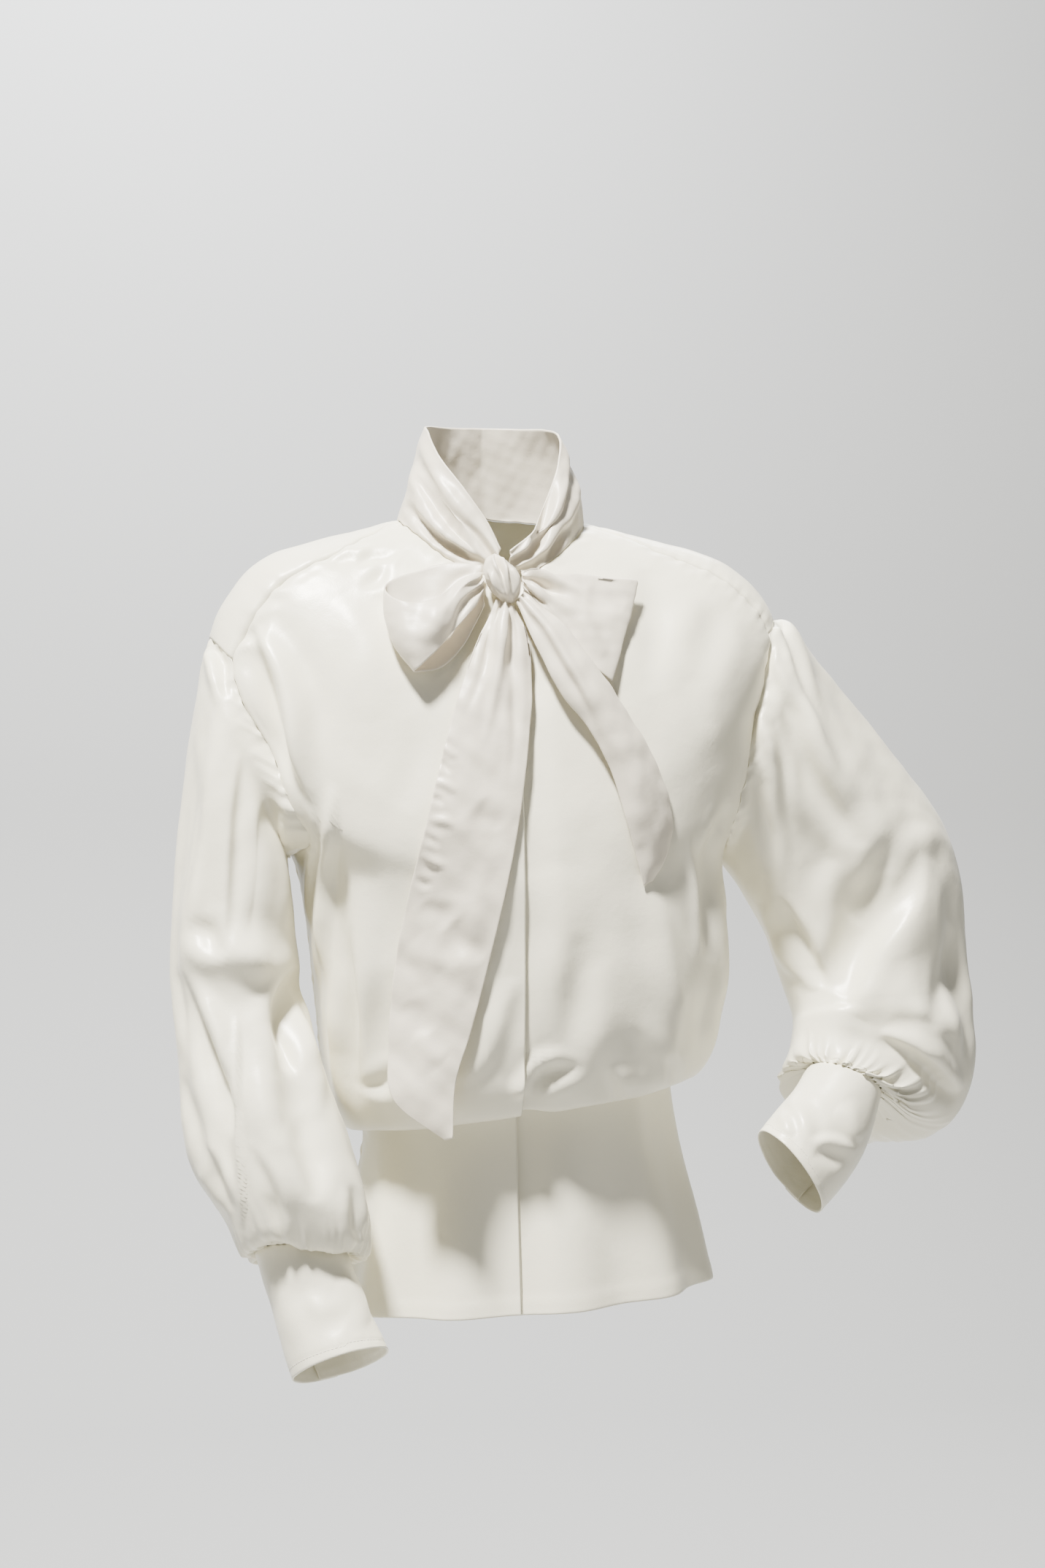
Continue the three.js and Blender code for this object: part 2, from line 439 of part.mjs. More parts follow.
// A wall with its outer face through the points. Faces list corners in order, seen from outside.
// directions: where the outer face looks at each point, or else it's worked out from the faces.
function wall(points, faces, directions = []) {
  const normals = points.map(() => new THREE.Vector3());
  const edgeA = new THREE.Vector3();
  const edgeB = new THREE.Vector3();
  const edgeOwners = new Map();
  for (const face of faces) {
    const [a, b, c] = face;
    const d = face[face.length - 1];
    edgeA.subVectors(points[c], points[a]);
    edgeB.subVectors(points[d], points[b]);
    if (face.length === 3) {
      edgeB.subVectors(points[c], points[b]);
      edgeA.subVectors(points[b], points[a]);
    }
    const normal = new THREE.Vector3().crossVectors(edgeA, edgeB);
    face.forEach((corner, i) => {
      normals[corner].add(normal);
      const next = face[(i + 1) % face.length];
      const key = `${Math.min(corner, next)}_${Math.max(corner, next)}`;
      const owners = edgeOwners.get(key) || [];
      owners.push([corner, next]);
      edgeOwners.set(key, owners);
    });
  }
  const count = points.length;
  const all = points.map((point) => point.clone());
  points.forEach((point, i) => {
    all.push(point.clone().addScaledVector(directions[i] || normals[i].normalize(), -WALL));
  });
  const triangles = [];
  const addFace = (corners) => {
    if (corners.length === 3) {
      triangles.push(corners);
      return;
    }
    const [a, b, c, d] = corners;
    if (all[a].distanceTo(all[c]) <= all[b].distanceTo(all[d])) {
      triangles.push([a, b, c], [a, c, d]);
    } else {
      triangles.push([a, b, d], [b, c, d]);
    }
  };
  for (const face of faces) {
    addFace(face);
    addFace(face.map((corner) => corner + count).reverse());
  }
  for (const owners of edgeOwners.values()) {
    if (owners.length === 1) {
      const [a, b] = owners[0];
      addFace([b, a, a + count, b + count]);
    }
  }
  return geometryOf(all, triangles);
}

function geometryOf(points, triangles) {
  const positions = [];
  for (const triangle of triangles) {
    for (const corner of triangle) {
      positions.push(points[corner].x, points[corner].y, points[corner].z);
    }
  }
  const geometry = new THREE.BufferGeometry();
  geometry.setAttribute('position', new THREE.Float32BufferAttribute(positions, 3));
  geometry.computeVertexNormals();
  return geometry;
}

// Corner lists of a grid of rows. closed joins the last column to the first.
function gridFaces(rows, columns, closed, flip = false) {
  const faces = [];
  const strips = closed ? columns : columns - 1;
  for (let i = 0; i < rows - 1; i += 1) {
    for (let j = 0; j < strips; j += 1) {
      const a = i * columns + j;
      const b = i * columns + ((j + 1) % columns);
      const face = [a, a + columns, b + columns, b];
      faces.push(flip ? face.reverse() : face);
    }
  }
  return faces;
}

// Outer edge of a front panel at a level: shoulder seam, then armhole, then side seam.
function frontOuterAngle(side, level) {
  if (level <= SHOULDER_LEVEL) {
    return rowAt(SHOULDER_SEAM, level)[side];
  }
  if (level < UNDERARM_LEVEL) {
    return rowAt(ARMHOLES, level)[side === 'right' ? 'frontRight' : 'frontLeft'];
  }
  return QUARTER_TURN;
}

// How far the left front lies behind the right one's line at a place beside the middle.
function underLap(x) {
  return 2 * LAP_STEP * (1 - smoothStep(LAP_BLEND_START, LAP_BLEND_END, x));
}

// One front panel. edgeX: its edge at the centre. inset: a function of the place beside the middle.
function frontPanel(side, edgeX, inset) {
  const sign = side === 'right' ? -1 : 1;
  const levels = [
    ...BODY_LEVELS_ABOVE,
    ...BODY_LEVELS_ARMHOLE.slice(1),
    ...BODY_LEVELS_BELOW.slice(1),
  ];
  const points = [];
  const directions = [];
  for (const level of levels) {
    const outer = sign * (frontOuterAngle(side, level) - seamAngle(level));
    const middle = angleBeside(edgeX + sign * LAP_STRIPS * LAP_STRIP, level);
    for (let j = 0; j <= FRONT_COLUMNS; j += 1) {
      const beyond = (j - LAP_STRIPS) / (FRONT_COLUMNS - LAP_STRIPS);
      const angle = j <= LAP_STRIPS
        ? angleBeside(edgeX + sign * j * LAP_STRIP, level)
        : mix(middle, outer, beyond);
      const direction = bodyNormal(angle, level);
      const point = bodyPoint(angle, level);
      points.push(point.addScaledVector(direction, -inset(point.x)));
      directions.push(direction);
    }
  }
  const faces = gridFaces(levels.length, FRONT_COLUMNS + 1, false, side === 'right');
  return wall(points, faces, directions);
}

// The placket: a strip the width of the lap, just behind the right front.
function placket() {
  const points = [];
  const directions = [];
  const levels = [
    ...BODY_LEVELS_ABOVE,
    ...BODY_LEVELS_ARMHOLE.slice(1),
    ...BODY_LEVELS_BELOW.slice(1),
  ];
  for (const level of levels) {
    for (let j = LAP_STRIPS; j >= 0; j -= 1) {
      const x = LAP_EDGE - j * LAP_STRIP + (j === 0 ? PLACKET_SHOWS : 0);
      const angle = angleBeside(x, level);
      const direction = bodyNormal(angle, level);
      points.push(bodyPoint(angle, level).addScaledVector(direction, -LAP_STEP));
      directions.push(direction);
    }
  }
  return wall(points, gridFaces(levels.length, LAP_STRIPS + 1, false), directions);
}

// The angle of a column over the shoulder, from the seam across the top to the back of the armhole.
function crestAngle(seam, crest, column) {
  if (column <= CREST_COLUMNS) {
    return mix(seam, QUARTER_TURN, column / CREST_COLUMNS);
  }
  return mix(QUARTER_TURN, crest, column / CREST_COLUMNS - 1);
}

// The back: a full ring of columns above the armholes, the middle ones only beside and below them.
function backPanel() {
  const points = [];
  const directions = [];
  const index = [];
  const columns = 4 * CREST_COLUMNS + BACK_COLUMNS;
  const addRow = (level, edges, isWide) => {
    const row = new Array(columns + 1).fill(-1);
    for (let j = 0; j <= columns; j += 1) {
      const middle = j - 2 * CREST_COLUMNS;
      let angle = mix(edges.left, edges.right, middle / BACK_COLUMNS);
      if (middle < 0) {
        angle = crestAngle(edges.seamLeft, edges.left, j);
      }
      if (middle > BACK_COLUMNS) {
        angle = FULL_TURN - crestAngle(edges.seamRight, FULL_TURN - edges.right, columns - j);
      }
      if (isWide || (middle >= 0 && middle <= BACK_COLUMNS)) {
        row[j] = points.length;
        points.push(bodyPoint(angle, level));
        directions.push(bodyNormal(angle, level));
      }
    }
    index.push(row);
  };
  for (const level of BODY_LEVELS_ABOVE) {
    const gap = seamAngle(level);
    const seam = rowAt(SHOULDER_SEAM, level);
    const crest = rowAt(ARMHOLES, SHOULDER_LEVEL).back;
    addRow(level, {
      seamLeft: seam.left + gap,
      left: crest,
      right: FULL_TURN - crest,
      seamRight: seam.right + gap,
    }, true);
  }
  for (const level of [...BODY_LEVELS_ARMHOLE.slice(1), ...BODY_LEVELS_BELOW.slice(1)]) {
    const edge = level < UNDERARM_LEVEL ? rowAt(ARMHOLES, level).back : QUARTER_TURN;
    const gap = seamAngle(level);
    addRow(level, { left: edge + gap, right: FULL_TURN - edge - gap }, false);
  }
  const faces = [];
  for (let i = 0; i < index.length - 1; i += 1) {
    for (let j = 0; j < columns; j += 1) {
      const face = [index[i][j], index[i + 1][j], index[i + 1][j + 1], index[i][j + 1]];
      if (face.every((corner) => corner >= 0)) {
        faces.push(face);
      }
    }
  }
  return wall(points, faces, directions);
}

// The armhole's edge as it is cut in the panels: from the top to the front, underarm and back.
// direction: the way the panel faces. away: out of the panel, along its face.
function armholeEdge(side) {
  const sign = side === 'right' ? -1 : 1;
  const front = side === 'right' ? 'frontRight' : 'frontLeft';
  const seam = rowAt(SHOULDER_SEAM, SHOULDER_LEVEL)[side];
  const crest = rowAt(ARMHOLES, SHOULDER_LEVEL).back;
  const places = [];
  for (let j = 0; j < CREST_COLUMNS; j += 1) {
    places.push([crestAngle(seam, crest, CREST_COLUMNS - j), SHOULDER_LEVEL]);
  }
  for (const level of BODY_LEVELS_ARMHOLE) {
    places.push([rowAt(ARMHOLES, level)[front], level]);
  }
  const upward = BODY_LEVELS_ARMHOLE.slice(0, -1).reverse();
  for (const level of upward) {
    places.push([rowAt(ARMHOLES, level).back, level]);
  }
  for (let j = 1; j < CREST_COLUMNS; j += 1) {
    places.push([crestAngle(seam, crest, 2 * CREST_COLUMNS - j), SHOULDER_LEVEL]);
  }
  const points = places.map(([angle, level]) => bodyPoint(sign * angle, level));
  return places.map(([angle, level], j) => {
    const before = points[(j + points.length - 1) % points.length];
    const after = points[(j + 1) % points.length];
    const direction = bodyNormal(sign * angle, level);
    const away = direction.clone().cross(after.clone().sub(before)).multiplyScalar(sign).normalize();
    return { point: points[j], direction, away };
  });
}

// A point of a tube's ring: the angle runs from the outer point round by the front.
function tubePoint(rings, angle, level, folds = [], extra = 0) {
  const ring = rowAt(rings, level);
  const outer = new THREE.Vector3(ring.outX, ring.outY, ring.outZ);
  const inner = new THREE.Vector3(ring.inX, ring.inY, ring.inZ);
  const middle = outer.clone().add(inner).multiplyScalar(0.5);
  const across = outer.clone().sub(inner);
  const half = across.length() / 2;
  across.normalize();
  const front = new THREE.Vector3(0, -Math.cos(radians(ring.lean)), Math.sin(radians(ring.lean)));
  front.addScaledVector(across, -front.dot(across)).normalize();
  const out = foldHeight(folds, angle, level) + extra;
  const side = Math.cos(radians(angle));
  const ahead = Math.sin(radians(angle));
  const depth = ahead > 0 ? ring.front : ring.back;
  return middle
    .addScaledVector(across, (half + out) * side)
    .addScaledVector(front, (depth + out) * ahead);
}

// Straight out from a tube's middle, in its ring's own plane.
function tubeOutward(rings, angle, level) {
  return tubePoint(rings, angle, level, [], 1).sub(tubePoint(rings, angle, level)).normalize();
}

// Halfway between the way a sleeve's end faces and the way its cuff faces.
function seamDirection(side, rings, angle, level) {
  const sign = side === 'right' ? -1 : 1;
  const here = tubePoint(rings, angle, level);
  const down = here.clone().sub(tubePoint(rings, angle, level - NORMAL_STEP));
  const round = tubePoint(rings, angle + 1, level).sub(here);
  const facing = round.cross(down).multiplyScalar(sign).normalize();
  return facing.add(tubeOutward(rings, angle, level)).normalize();
}

// A sleeve: the armhole's edge, plain rings, then finer rings that carry the gathers.
function sleeve(side, rings, folds) {
  const edge = armholeEdge(side);
  const columns = edge.length;
  const points = [];
  const faces = [];
  const directions = [];
  const angleOf = (j) => (FULL_TURN * j) / columns;
  const firstRing = [];
  for (let j = 0; j < columns; j += 1) {
    firstRing.push(tubePoint(rings, angleOf(j), rings[0].at, folds));
  }
  edge.forEach(({ point, direction, away }, j) => {
    const toward = firstRing[j].clone().sub(point).normalize();
    const facing = tubeOutward(rings, angleOf(j), rings[0].at);
    facing.addScaledVector(toward, -facing.dot(toward)).normalize();
    points.push(point.clone().addScaledVector(toward.add(away).normalize(), SET_IN_GAP));
    directions.push(facing.add(direction).normalize());
  });
  for (const level of SLEEVE_LEVELS) {
    for (let j = 0; j < columns; j += 1) {
      if (level < rings[0].at) {
        points.push(edge[j].point.clone().lerp(firstRing[j], level / rings[0].at));
      } else {
        points.push(tubePoint(rings, angleOf(j), level, folds));
      }
    }
  }
  faces.push(...gridFaces(SLEEVE_LEVELS.length + 1, columns, true, side === 'left'));
  const coarse = SLEEVE_LEVELS.length * columns;
  const fine = columns * GATHERS_PER_COLUMN;
  const start = points.length;
  const end = rings[rings.length - 1].at;
  for (const level of GATHER_LEVELS) {
    for (let j = 0; j < fine; j += 1) {
      const wave = j % 2 === 0 ? GATHER_DEPTH : -GATHER_DEPTH;
      const grow = smoothStep(GATHER_START, end, level);
      const angle = (FULL_TURN * j) / fine;
      if (level === end) {
        directions[points.length] = seamDirection(side, rings, angle, level);
      }
      points.push(tubePoint(rings, angle, level, folds, wave * grow));
    }
  }
  const turned = (face) => (side === 'left' ? face.reverse() : face);
  for (let j = 0; j < columns; j += 1) {
    const a = coarse + j;
    const b = coarse + ((j + 1) % columns);
    const first = start + j * GATHERS_PER_COLUMN;
    const at = (k) => start + ((j * GATHERS_PER_COLUMN + k) % fine);
    faces.push(turned([a, first, at(1)]));
    faces.push(turned([a, at(1), at(2), b]));
    faces.push(turned([b, at(2), at(3)]));
  }
  for (let i = 0; i < GATHER_LEVELS.length - 1; i += 1) {
    for (let j = 0; j < fine; j += 1) {
      const a = start + i * fine + j;
      const b = start + i * fine + ((j + 1) % fine);
      faces.push(turned([a, a + fine, b + fine, b]));
    }
  }
  return wall(points, faces, directions);
}

// A cuff: a band wrapped round once, whose end lies under its start.
function cuff(side, rings) {
  const points = [];
  const directions = [];
  const sweep = FULL_TURN + CUFF_LAP;
  for (const level of CUFF_LEVELS) {
    for (let j = 0; j <= CUFF_COLUMNS; j += 1) {
      const turn = (sweep * j) / CUFF_COLUMNS;
      const under = LAP_STEP * smoothStep(FULL_TURN - CUFF_LAP_BLEND, FULL_TURN, turn);
      const angle = CUFF_LAP_START[side] + turn;
      points.push(tubePoint(rings, angle, level, [], -under));
      directions.push(tubeOutward(rings, angle, level));
    }
  }
  const faces = gridFaces(CUFF_LEVELS.length, CUFF_COLUMNS + 1, false, side === 'left');
  return wall(points, faces, directions);
}

// The band: its lower edge follows the neckline and its front ends narrow toward the knot.
function neckBand() {
  const points = [];
  for (let i = 0; i <= BAND_ROWS; i += 1) {
    const up = i / BAND_ROWS;
    for (let j = 0; j <= BAND_COLUMNS; j += 1) {
      const angle = mix(BAND_END, FULL_TURN - BAND_END, j / BAND_COLUMNS);
      const side = angle <= HALF_TURN ? 'left' : 'right';
      const turn = angle <= HALF_TURN ? angle : FULL_TURN - angle;
      const top = rowAt(BAND_TOP, turn);
      const low = bodyPoint(angle, NECK_LEVEL);
      low.z += BAND_GAP;
      const high = new THREE.Vector3(top[`${side}X`], top[`${side}Y`], top[`${side}Z`]);
      const point = low.lerp(high, up);
      const outward = new THREE.Vector3(point.x, point.y, 0).normalize();
      const spread = smoothStep(BAND_BULGE_START, BAND_BULGE_FULL, turn);
      let out = BAND_BULGE[side] * Math.sin(Math.PI * up) * spread;
      for (const fold of BAND_FOLDS) {
        const line = fold.up + (fold.rise * turn) / BAND_FOLD_END;
        const fade = 1 - smoothStep(BAND_FOLD_END / 2, BAND_FOLD_END, turn);
        out += fold.depth * fade * bell(up - line, BAND_FOLD_WIDTH);
      }
      points.push(point.addScaledVector(outward, out));
    }
  }
  return wall(points, gridFaces(BAND_ROWS + 1, BAND_COLUMNS + 1, false, true));
}

// The knot: a closed lump with one crease down its front.
function knot() {
  const points = [];
  const last = KNOT_SECTIONS[KNOT_SECTIONS.length - 1].at;
  for (let i = 0; i <= KNOT_ROWS; i += 1) {
    const section = rowAt(KNOT_SECTIONS, (last * i) / KNOT_ROWS);
    for (let j = 0; j < KNOT_COLUMNS; j += 1) {
      const angle = (FULL_TURN * j) / KNOT_COLUMNS;
      const crease = KNOT_CREASE * bell(angle - KNOT_CREASE_ANGLE, KNOT_CREASE_WIDTH);
      const half = section.half - crease * KNOT_CREASE_NARROWS;
      const deep = section.deep - crease;
      points.push(new THREE.Vector3(
        section.x - half * Math.cos(radians(angle)),
        section.y - deep * Math.sin(radians(angle)),
        section.z,
      ));
    }
  }
  const faces = gridFaces(KNOT_ROWS + 1, KNOT_COLUMNS, true);
  const triangles = faces.flatMap(([a, b, c, d]) => [[a, b, c], [a, c, d]]);
  const first = KNOT_SECTIONS[0];
  const end = KNOT_SECTIONS[KNOT_SECTIONS.length - 1];
  const topCentre = points.push(new THREE.Vector3(first.x, first.y, first.z + first.deep / 2)) - 1;
  const lowCentre = points.push(new THREE.Vector3(end.x, end.y, end.z - end.deep / 2)) - 1;
  const lowStart = KNOT_ROWS * KNOT_COLUMNS;
  for (let j = 0; j < KNOT_COLUMNS; j += 1) {
    const next = (j + 1) % KNOT_COLUMNS;
    triangles.push([topCentre, j, next]);
    triangles.push([lowCentre, lowStart + next, lowStart + j]);
  }
  return geometryOf(points, triangles);
}

// A strip of cloth between its two edges, pleated at the ends that enter the knot.
function ribbon(table, columns, rows, pleatsAtEnd, flip) {
  const points = [];
  const last = table[table.length - 1].at;
  const placed = table.map((row) => ({
    ...row,
    topY: frontPoint(row.topX, row.topZ).y - row.topOff,
    lowY: frontPoint(row.lowX, row.lowZ).y - row.lowOff,
  }));
  for (let i = 0; i <= columns; i += 1) {
    const along = i / columns;
    const row = rowAt(placed, last * along);
    const top = new THREE.Vector3(row.topX, row.topY, row.topZ);
    const low = new THREE.Vector3(row.lowX, row.lowY, row.lowZ);
    const toEnd = pleatsAtEnd ? Math.min(along, 1 - along) : along;
    const pleat = RIBBON_PLEAT_DEPTH * (1 - smoothStep(0, RIBBON_PLEAT_REACH, toEnd));
    for (let j = 0; j <= rows; j += 1) {
      const t = j / rows;
      const point = top.clone().lerp(low, t);
      point.y -= row.belly * Math.sin(Math.PI * t);
      point.x += row.swell * Math.sin(Math.PI * t);
      point.y -= pleat * Math.sin(2 * Math.PI * RIBBON_PLEATS * t) * Math.sin(Math.PI * t);
      points.push(point);
    }
  }
  return wall(points, gridFaces(columns + 1, rows + 1, false, flip));
}

function node(name, geometry, color) {
  const material = new THREE.MeshStandardMaterial({ color, roughness: ROUGHNESS });
  const mesh = new THREE.Mesh(geometry, material);
  mesh.name = name;
  return mesh;
}

const hiddenEdge = LAP_EDGE - LAP_STRIPS * LAP_STRIP;
const cloth = {
  back: backPanel(),
  front_right: frontPanel('right', LAP_EDGE, () => 0),
  front_left: frontPanel('left', hiddenEdge, underLap),
  placket: placket(),
  sleeve_right: sleeve('right', SLEEVE_RIGHT_RINGS, SLEEVE_RIGHT_FOLDS),
  sleeve_left: sleeve('left', SLEEVE_LEFT_RINGS, SLEEVE_LEFT_FOLDS),
  cuff_right: cuff('right', CUFF_RIGHT_RINGS),
  cuff_left: cuff('left', CUFF_LEFT_RINGS),
};
const tie = {
  neck_band: neckBand(),
  bow_knot: knot(),
  bow_loop_right: ribbon(LOOP_RIGHT, LOOP_COLUMNS, LOOP_ROWS, true, true),
  bow_loop_left: ribbon(LOOP_LEFT, LOOP_COLUMNS, LOOP_ROWS, true, false),
  tie_tail_long: ribbon(TAIL_LONG, TAIL_LONG_COLUMNS, TAIL_ROWS, false, false),
  tie_tail_short: ribbon(TAIL_SHORT, TAIL_SHORT_COLUMNS, TAIL_ROWS, false, false),
};

const blouse = new THREE.Group();
blouse.name = 'blouse';
for (const [name, geometry] of Object.entries(cloth)) {
  blouse.add(node(name, geometry, IVORY));
}
for (const [name, geometry] of Object.entries(tie)) {
  blouse.add(node(name, geometry, IVORY_TIE));
}

export default blouse;
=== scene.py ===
import math

import bpy
import numpy as np
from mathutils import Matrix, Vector


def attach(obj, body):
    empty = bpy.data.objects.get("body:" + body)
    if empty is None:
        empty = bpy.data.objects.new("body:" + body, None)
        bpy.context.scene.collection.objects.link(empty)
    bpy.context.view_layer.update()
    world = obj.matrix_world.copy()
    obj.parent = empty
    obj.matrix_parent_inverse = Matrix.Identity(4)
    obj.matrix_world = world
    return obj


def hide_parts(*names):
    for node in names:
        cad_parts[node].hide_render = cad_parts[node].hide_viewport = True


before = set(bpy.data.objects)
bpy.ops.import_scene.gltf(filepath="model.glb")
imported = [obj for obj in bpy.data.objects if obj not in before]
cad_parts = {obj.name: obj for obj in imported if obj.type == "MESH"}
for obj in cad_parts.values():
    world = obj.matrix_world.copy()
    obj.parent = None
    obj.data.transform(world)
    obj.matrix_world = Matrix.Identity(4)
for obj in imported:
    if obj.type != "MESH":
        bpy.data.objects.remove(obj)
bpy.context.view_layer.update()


# The studio: a pale paper floor that curves up into the backdrop, a strong soft key light from the
# upper left of the picture, a faint fill, one light for the backdrop and a weak one from behind. The
# camera is level and stands a little to the wearer's right of the centre front. All is in metres.
VIEW_TURN = math.radians(-9)
VIEW_DISTANCE = 1.9
VIEW_ASIDE = 0.024
VIEW_LEVEL = -0.195
VIEW_HEIGHT = 1.1707
SENSOR = 36
FLOOR_Z = -1.35
COVE_START = 2.7
COVE_RADIUS = 1.1
COVE_TOP = 4.2
STAGE_HALF = 6
STAGE_FRONT = -4.5
COVE_STEPS = 24
STAGE_COLOUR = (0.46, 0.46, 0.455, 1)
STAGE_ROUGHNESS = 0.95
STAGE_SHINE = 0.1
BLOUSE_MIDDLE = (0, 0, -0.25)
BACKDROP_MIDDLE = (-0.3, 3.8, 1.2)
WARM = (1.0, 0.968, 0.885)
COOL = (0.94, 0.97, 1.0)
PALE = (0.97, 0.98, 1.0)
LIGHTS = {
    "key": {"at": (-0.9, -1.05, 2.5), "aim": BLOUSE_MIDDLE, "size": 0.45, "power": 530, "colour": WARM},
    "fill": {"at": (2.3, -2.2, 0.4), "aim": BLOUSE_MIDDLE, "size": 2.2, "power": 7, "colour": PALE},
    "backdrop": {"at": (-0.4, 1.9, 2.7), "aim": BACKDROP_MIDDLE, "size": 1.2, "power": 330, "colour": COOL},
    "behind": {"at": (0.9, 2.3, 2.0), "aim": BLOUSE_MIDDLE, "size": 1.4, "power": 60, "colour": PALE},
}
SKY_COLOUR = (0.93, 0.94, 0.96, 1)
SKY_STRENGTH = 0.15


def new_material(name):
    material = bpy.data.materials.new(name)
    material.use_nodes = True
    return material, material.node_tree, material.node_tree.nodes["Principled BSDF"]


def add_object(name, data):
    thing = bpy.data.objects.new(name, data)
    bpy.context.scene.collection.objects.link(thing)
    return thing


def smooth_object(name, points, faces):
    mesh = bpy.data.meshes.new(name)
    mesh.from_pydata(points, [], faces)
    mesh.polygons.foreach_set("use_smooth", [True] * len(faces))
    return add_object(name, mesh)


def build_stage():
    profile = [(STAGE_FRONT, FLOOR_Z), (COVE_START, FLOOR_Z)]
    for i in range(1, COVE_STEPS + 1):
        turn = math.pi / 2 * i / COVE_STEPS
        profile.append((
            COVE_START + COVE_RADIUS * math.sin(turn),
            FLOOR_Z + COVE_RADIUS * (1 - math.cos(turn)),
        ))
    profile.append((COVE_START + COVE_RADIUS, COVE_TOP))
    points = [(side * STAGE_HALF, y, z) for y, z in profile for side in (-1, 1)]
    faces = [(2 * i, 2 * i + 1, 2 * i + 3, 2 * i + 2) for i in range(len(profile) - 1)]
    stage = smooth_object("stage", points, faces)
    material, _, shader = new_material("stage_paper")
    shader.inputs["Base Color"].default_value = STAGE_COLOUR
    shader.inputs["Roughness"].default_value = STAGE_ROUGHNESS
    shader.inputs["Specular IOR Level"].default_value = STAGE_SHINE
    stage.data.materials.append(material)


def build_lights():
    for name, spec in LIGHTS.items():
        data = bpy.data.lights.new(name, "AREA")
        data.shape = "DISK"
        data.size = spec["size"]
        data.energy = spec["power"]
        data.color = spec["colour"]
        light = add_object(name, data)
        light.location = spec["at"]
        light.rotation_euler = (Vector(spec["aim"]) - light.location).to_track_quat("-Z", "Y").to_euler()
    world = bpy.data.worlds.new("studio")
    world.use_nodes = True
    sky = world.node_tree.nodes["Background"]
    sky.inputs["Color"].default_value = SKY_COLOUR
    sky.inputs["Strength"].default_value = SKY_STRENGTH
    bpy.context.scene.world = world


def build_camera():
    data = bpy.data.cameras.new("camera")
    data.sensor_fit = "VERTICAL"
    data.sensor_height = SENSOR
    data.lens = SENSOR * VIEW_DISTANCE / VIEW_HEIGHT
    camera = add_object("camera", data)
    middle = Vector((VIEW_ASIDE * math.cos(VIEW_TURN), VIEW_ASIDE * math.sin(VIEW_TURN), VIEW_LEVEL))
    toward = Vector((-math.sin(VIEW_TURN), math.cos(VIEW_TURN), 0))
    camera.location = middle - toward * VIEW_DISTANCE
    camera.rotation_euler = toward.to_track_quat("-Z", "Y").to_euler()
    bpy.context.scene.camera = camera


build_stage()
build_lights()
build_camera()


# The body's form: the panels of crepe are cut in the flat, sewn at the shoulders, armholes and sides,
# and worn so that they blouse over a tucked waist. From here on, sizes are in millimetres, levels run
# from 0 at the neck to 19 at the hem, and left and right are the wearer's.
MM = 0.001
NECK_LEVEL = 0
SHOULDER_LEVEL = 3
UNDERARM_LEVEL = 6
TUCK_LEVEL = 12.4
HEM_LEVEL = 19
LEVEL_TOLERANCE = 1e-6
NORMAL_STEP = 0.04
NORMAL_TURN = 0.5
SEAM_GAP = 0.08
CLOTH_THICKNESS = 0.9
CLOTH_STEP = 3.0
RUN_SAMPLES = 3000
EDGE_ROUNDING = 0.32
EDGE_ROWS = (0.6, 1.6)
SEAM_DIP = 0.8
SEAM_DIP_WIDTH = 2.4
PUCKER = 0.8
PUCKER_REACH = 9
PUCKER_LENGTH = 11
SEAM_SEED = 21


def table(columns, rows):
    names = columns.split()
    return {name: np.array([row[i] for row in rows], float) for i, name in enumerate(names)}


BODY_RINGS = table("at half side front frontZ back backZ shift tilt round", [
    (0, 70, 0, 62, -45, 56, 8, 0, 0, 2),
    (1, 128, -13.5, 83, -86, 79, -22, 1, 1, 2),
    (2, 180, -33, 105, -150, 96, -75, 2, 2, 2),
    (3, 212, -79, 118, -212, 105, -135, 3, 9, 2),
    (4, 206, -133, 122, -236, 107, -180, 2, 3, 2.05),
    (5, 195, -190, 124, -252, 107, -225, 4, 0, 2.05),
    (6, 162, -246, 126, -270, 105, -264, 12, 1, 2.12),
    (7, 157, -290, 126, -300, 102, -298, 19, 4, 2.25),
    (8, 153, -338, 126, -340, 99, -339, 22, 9, 2.45),
    (9, 147, -378, 124, -378, 97, -378, 20, 14, 2.45),
    (10, 142, -406, 119, -406, 93, -406, 20, 17, 2.4),
    (11, 134, -424, 111, -424, 85, -424, 20, 18, 2.35),
    (12, 128, -429, 104, -428, 80, -428, 20, 18, 2.3),
    (13, 124, -420, 96, -420, 77, -420, 20, 18, 2.3),
    (14, 120, -411, 91, -411, 74, -411, 20, 18, 2.3),
    (15, 116, -416, 86, -416, 71, -416, 20, 18, 2.25),
    (16, 115, -438, 84, -438, 71, -438, 20, 17, 2.2),
    (17, 121, -480, 90, -480, 78, -480, 21, 14, 2.15),
    (18, 132, -526, 99, -526, 88, -526, 22, 11, 2.1),
    (19, 141, -570, 107, -570, 95, -570, 23, 8, 2.1),
])
SHOULDER_SEAM = table("at right left", [
    (0, 82, 84), (0.5, 72, 76), (1, 66, 71), (2, 66, 70), (3, 68, 72),
])
ARMHOLES = table("at right left back", [
    (3, 68, 72, 107), (4, 58, 66, 115), (5, 52, 64, 120),
    (5.6, 57, 70, 115), (5.85, 69, 79, 105), (6, 90, 90, 90),
])
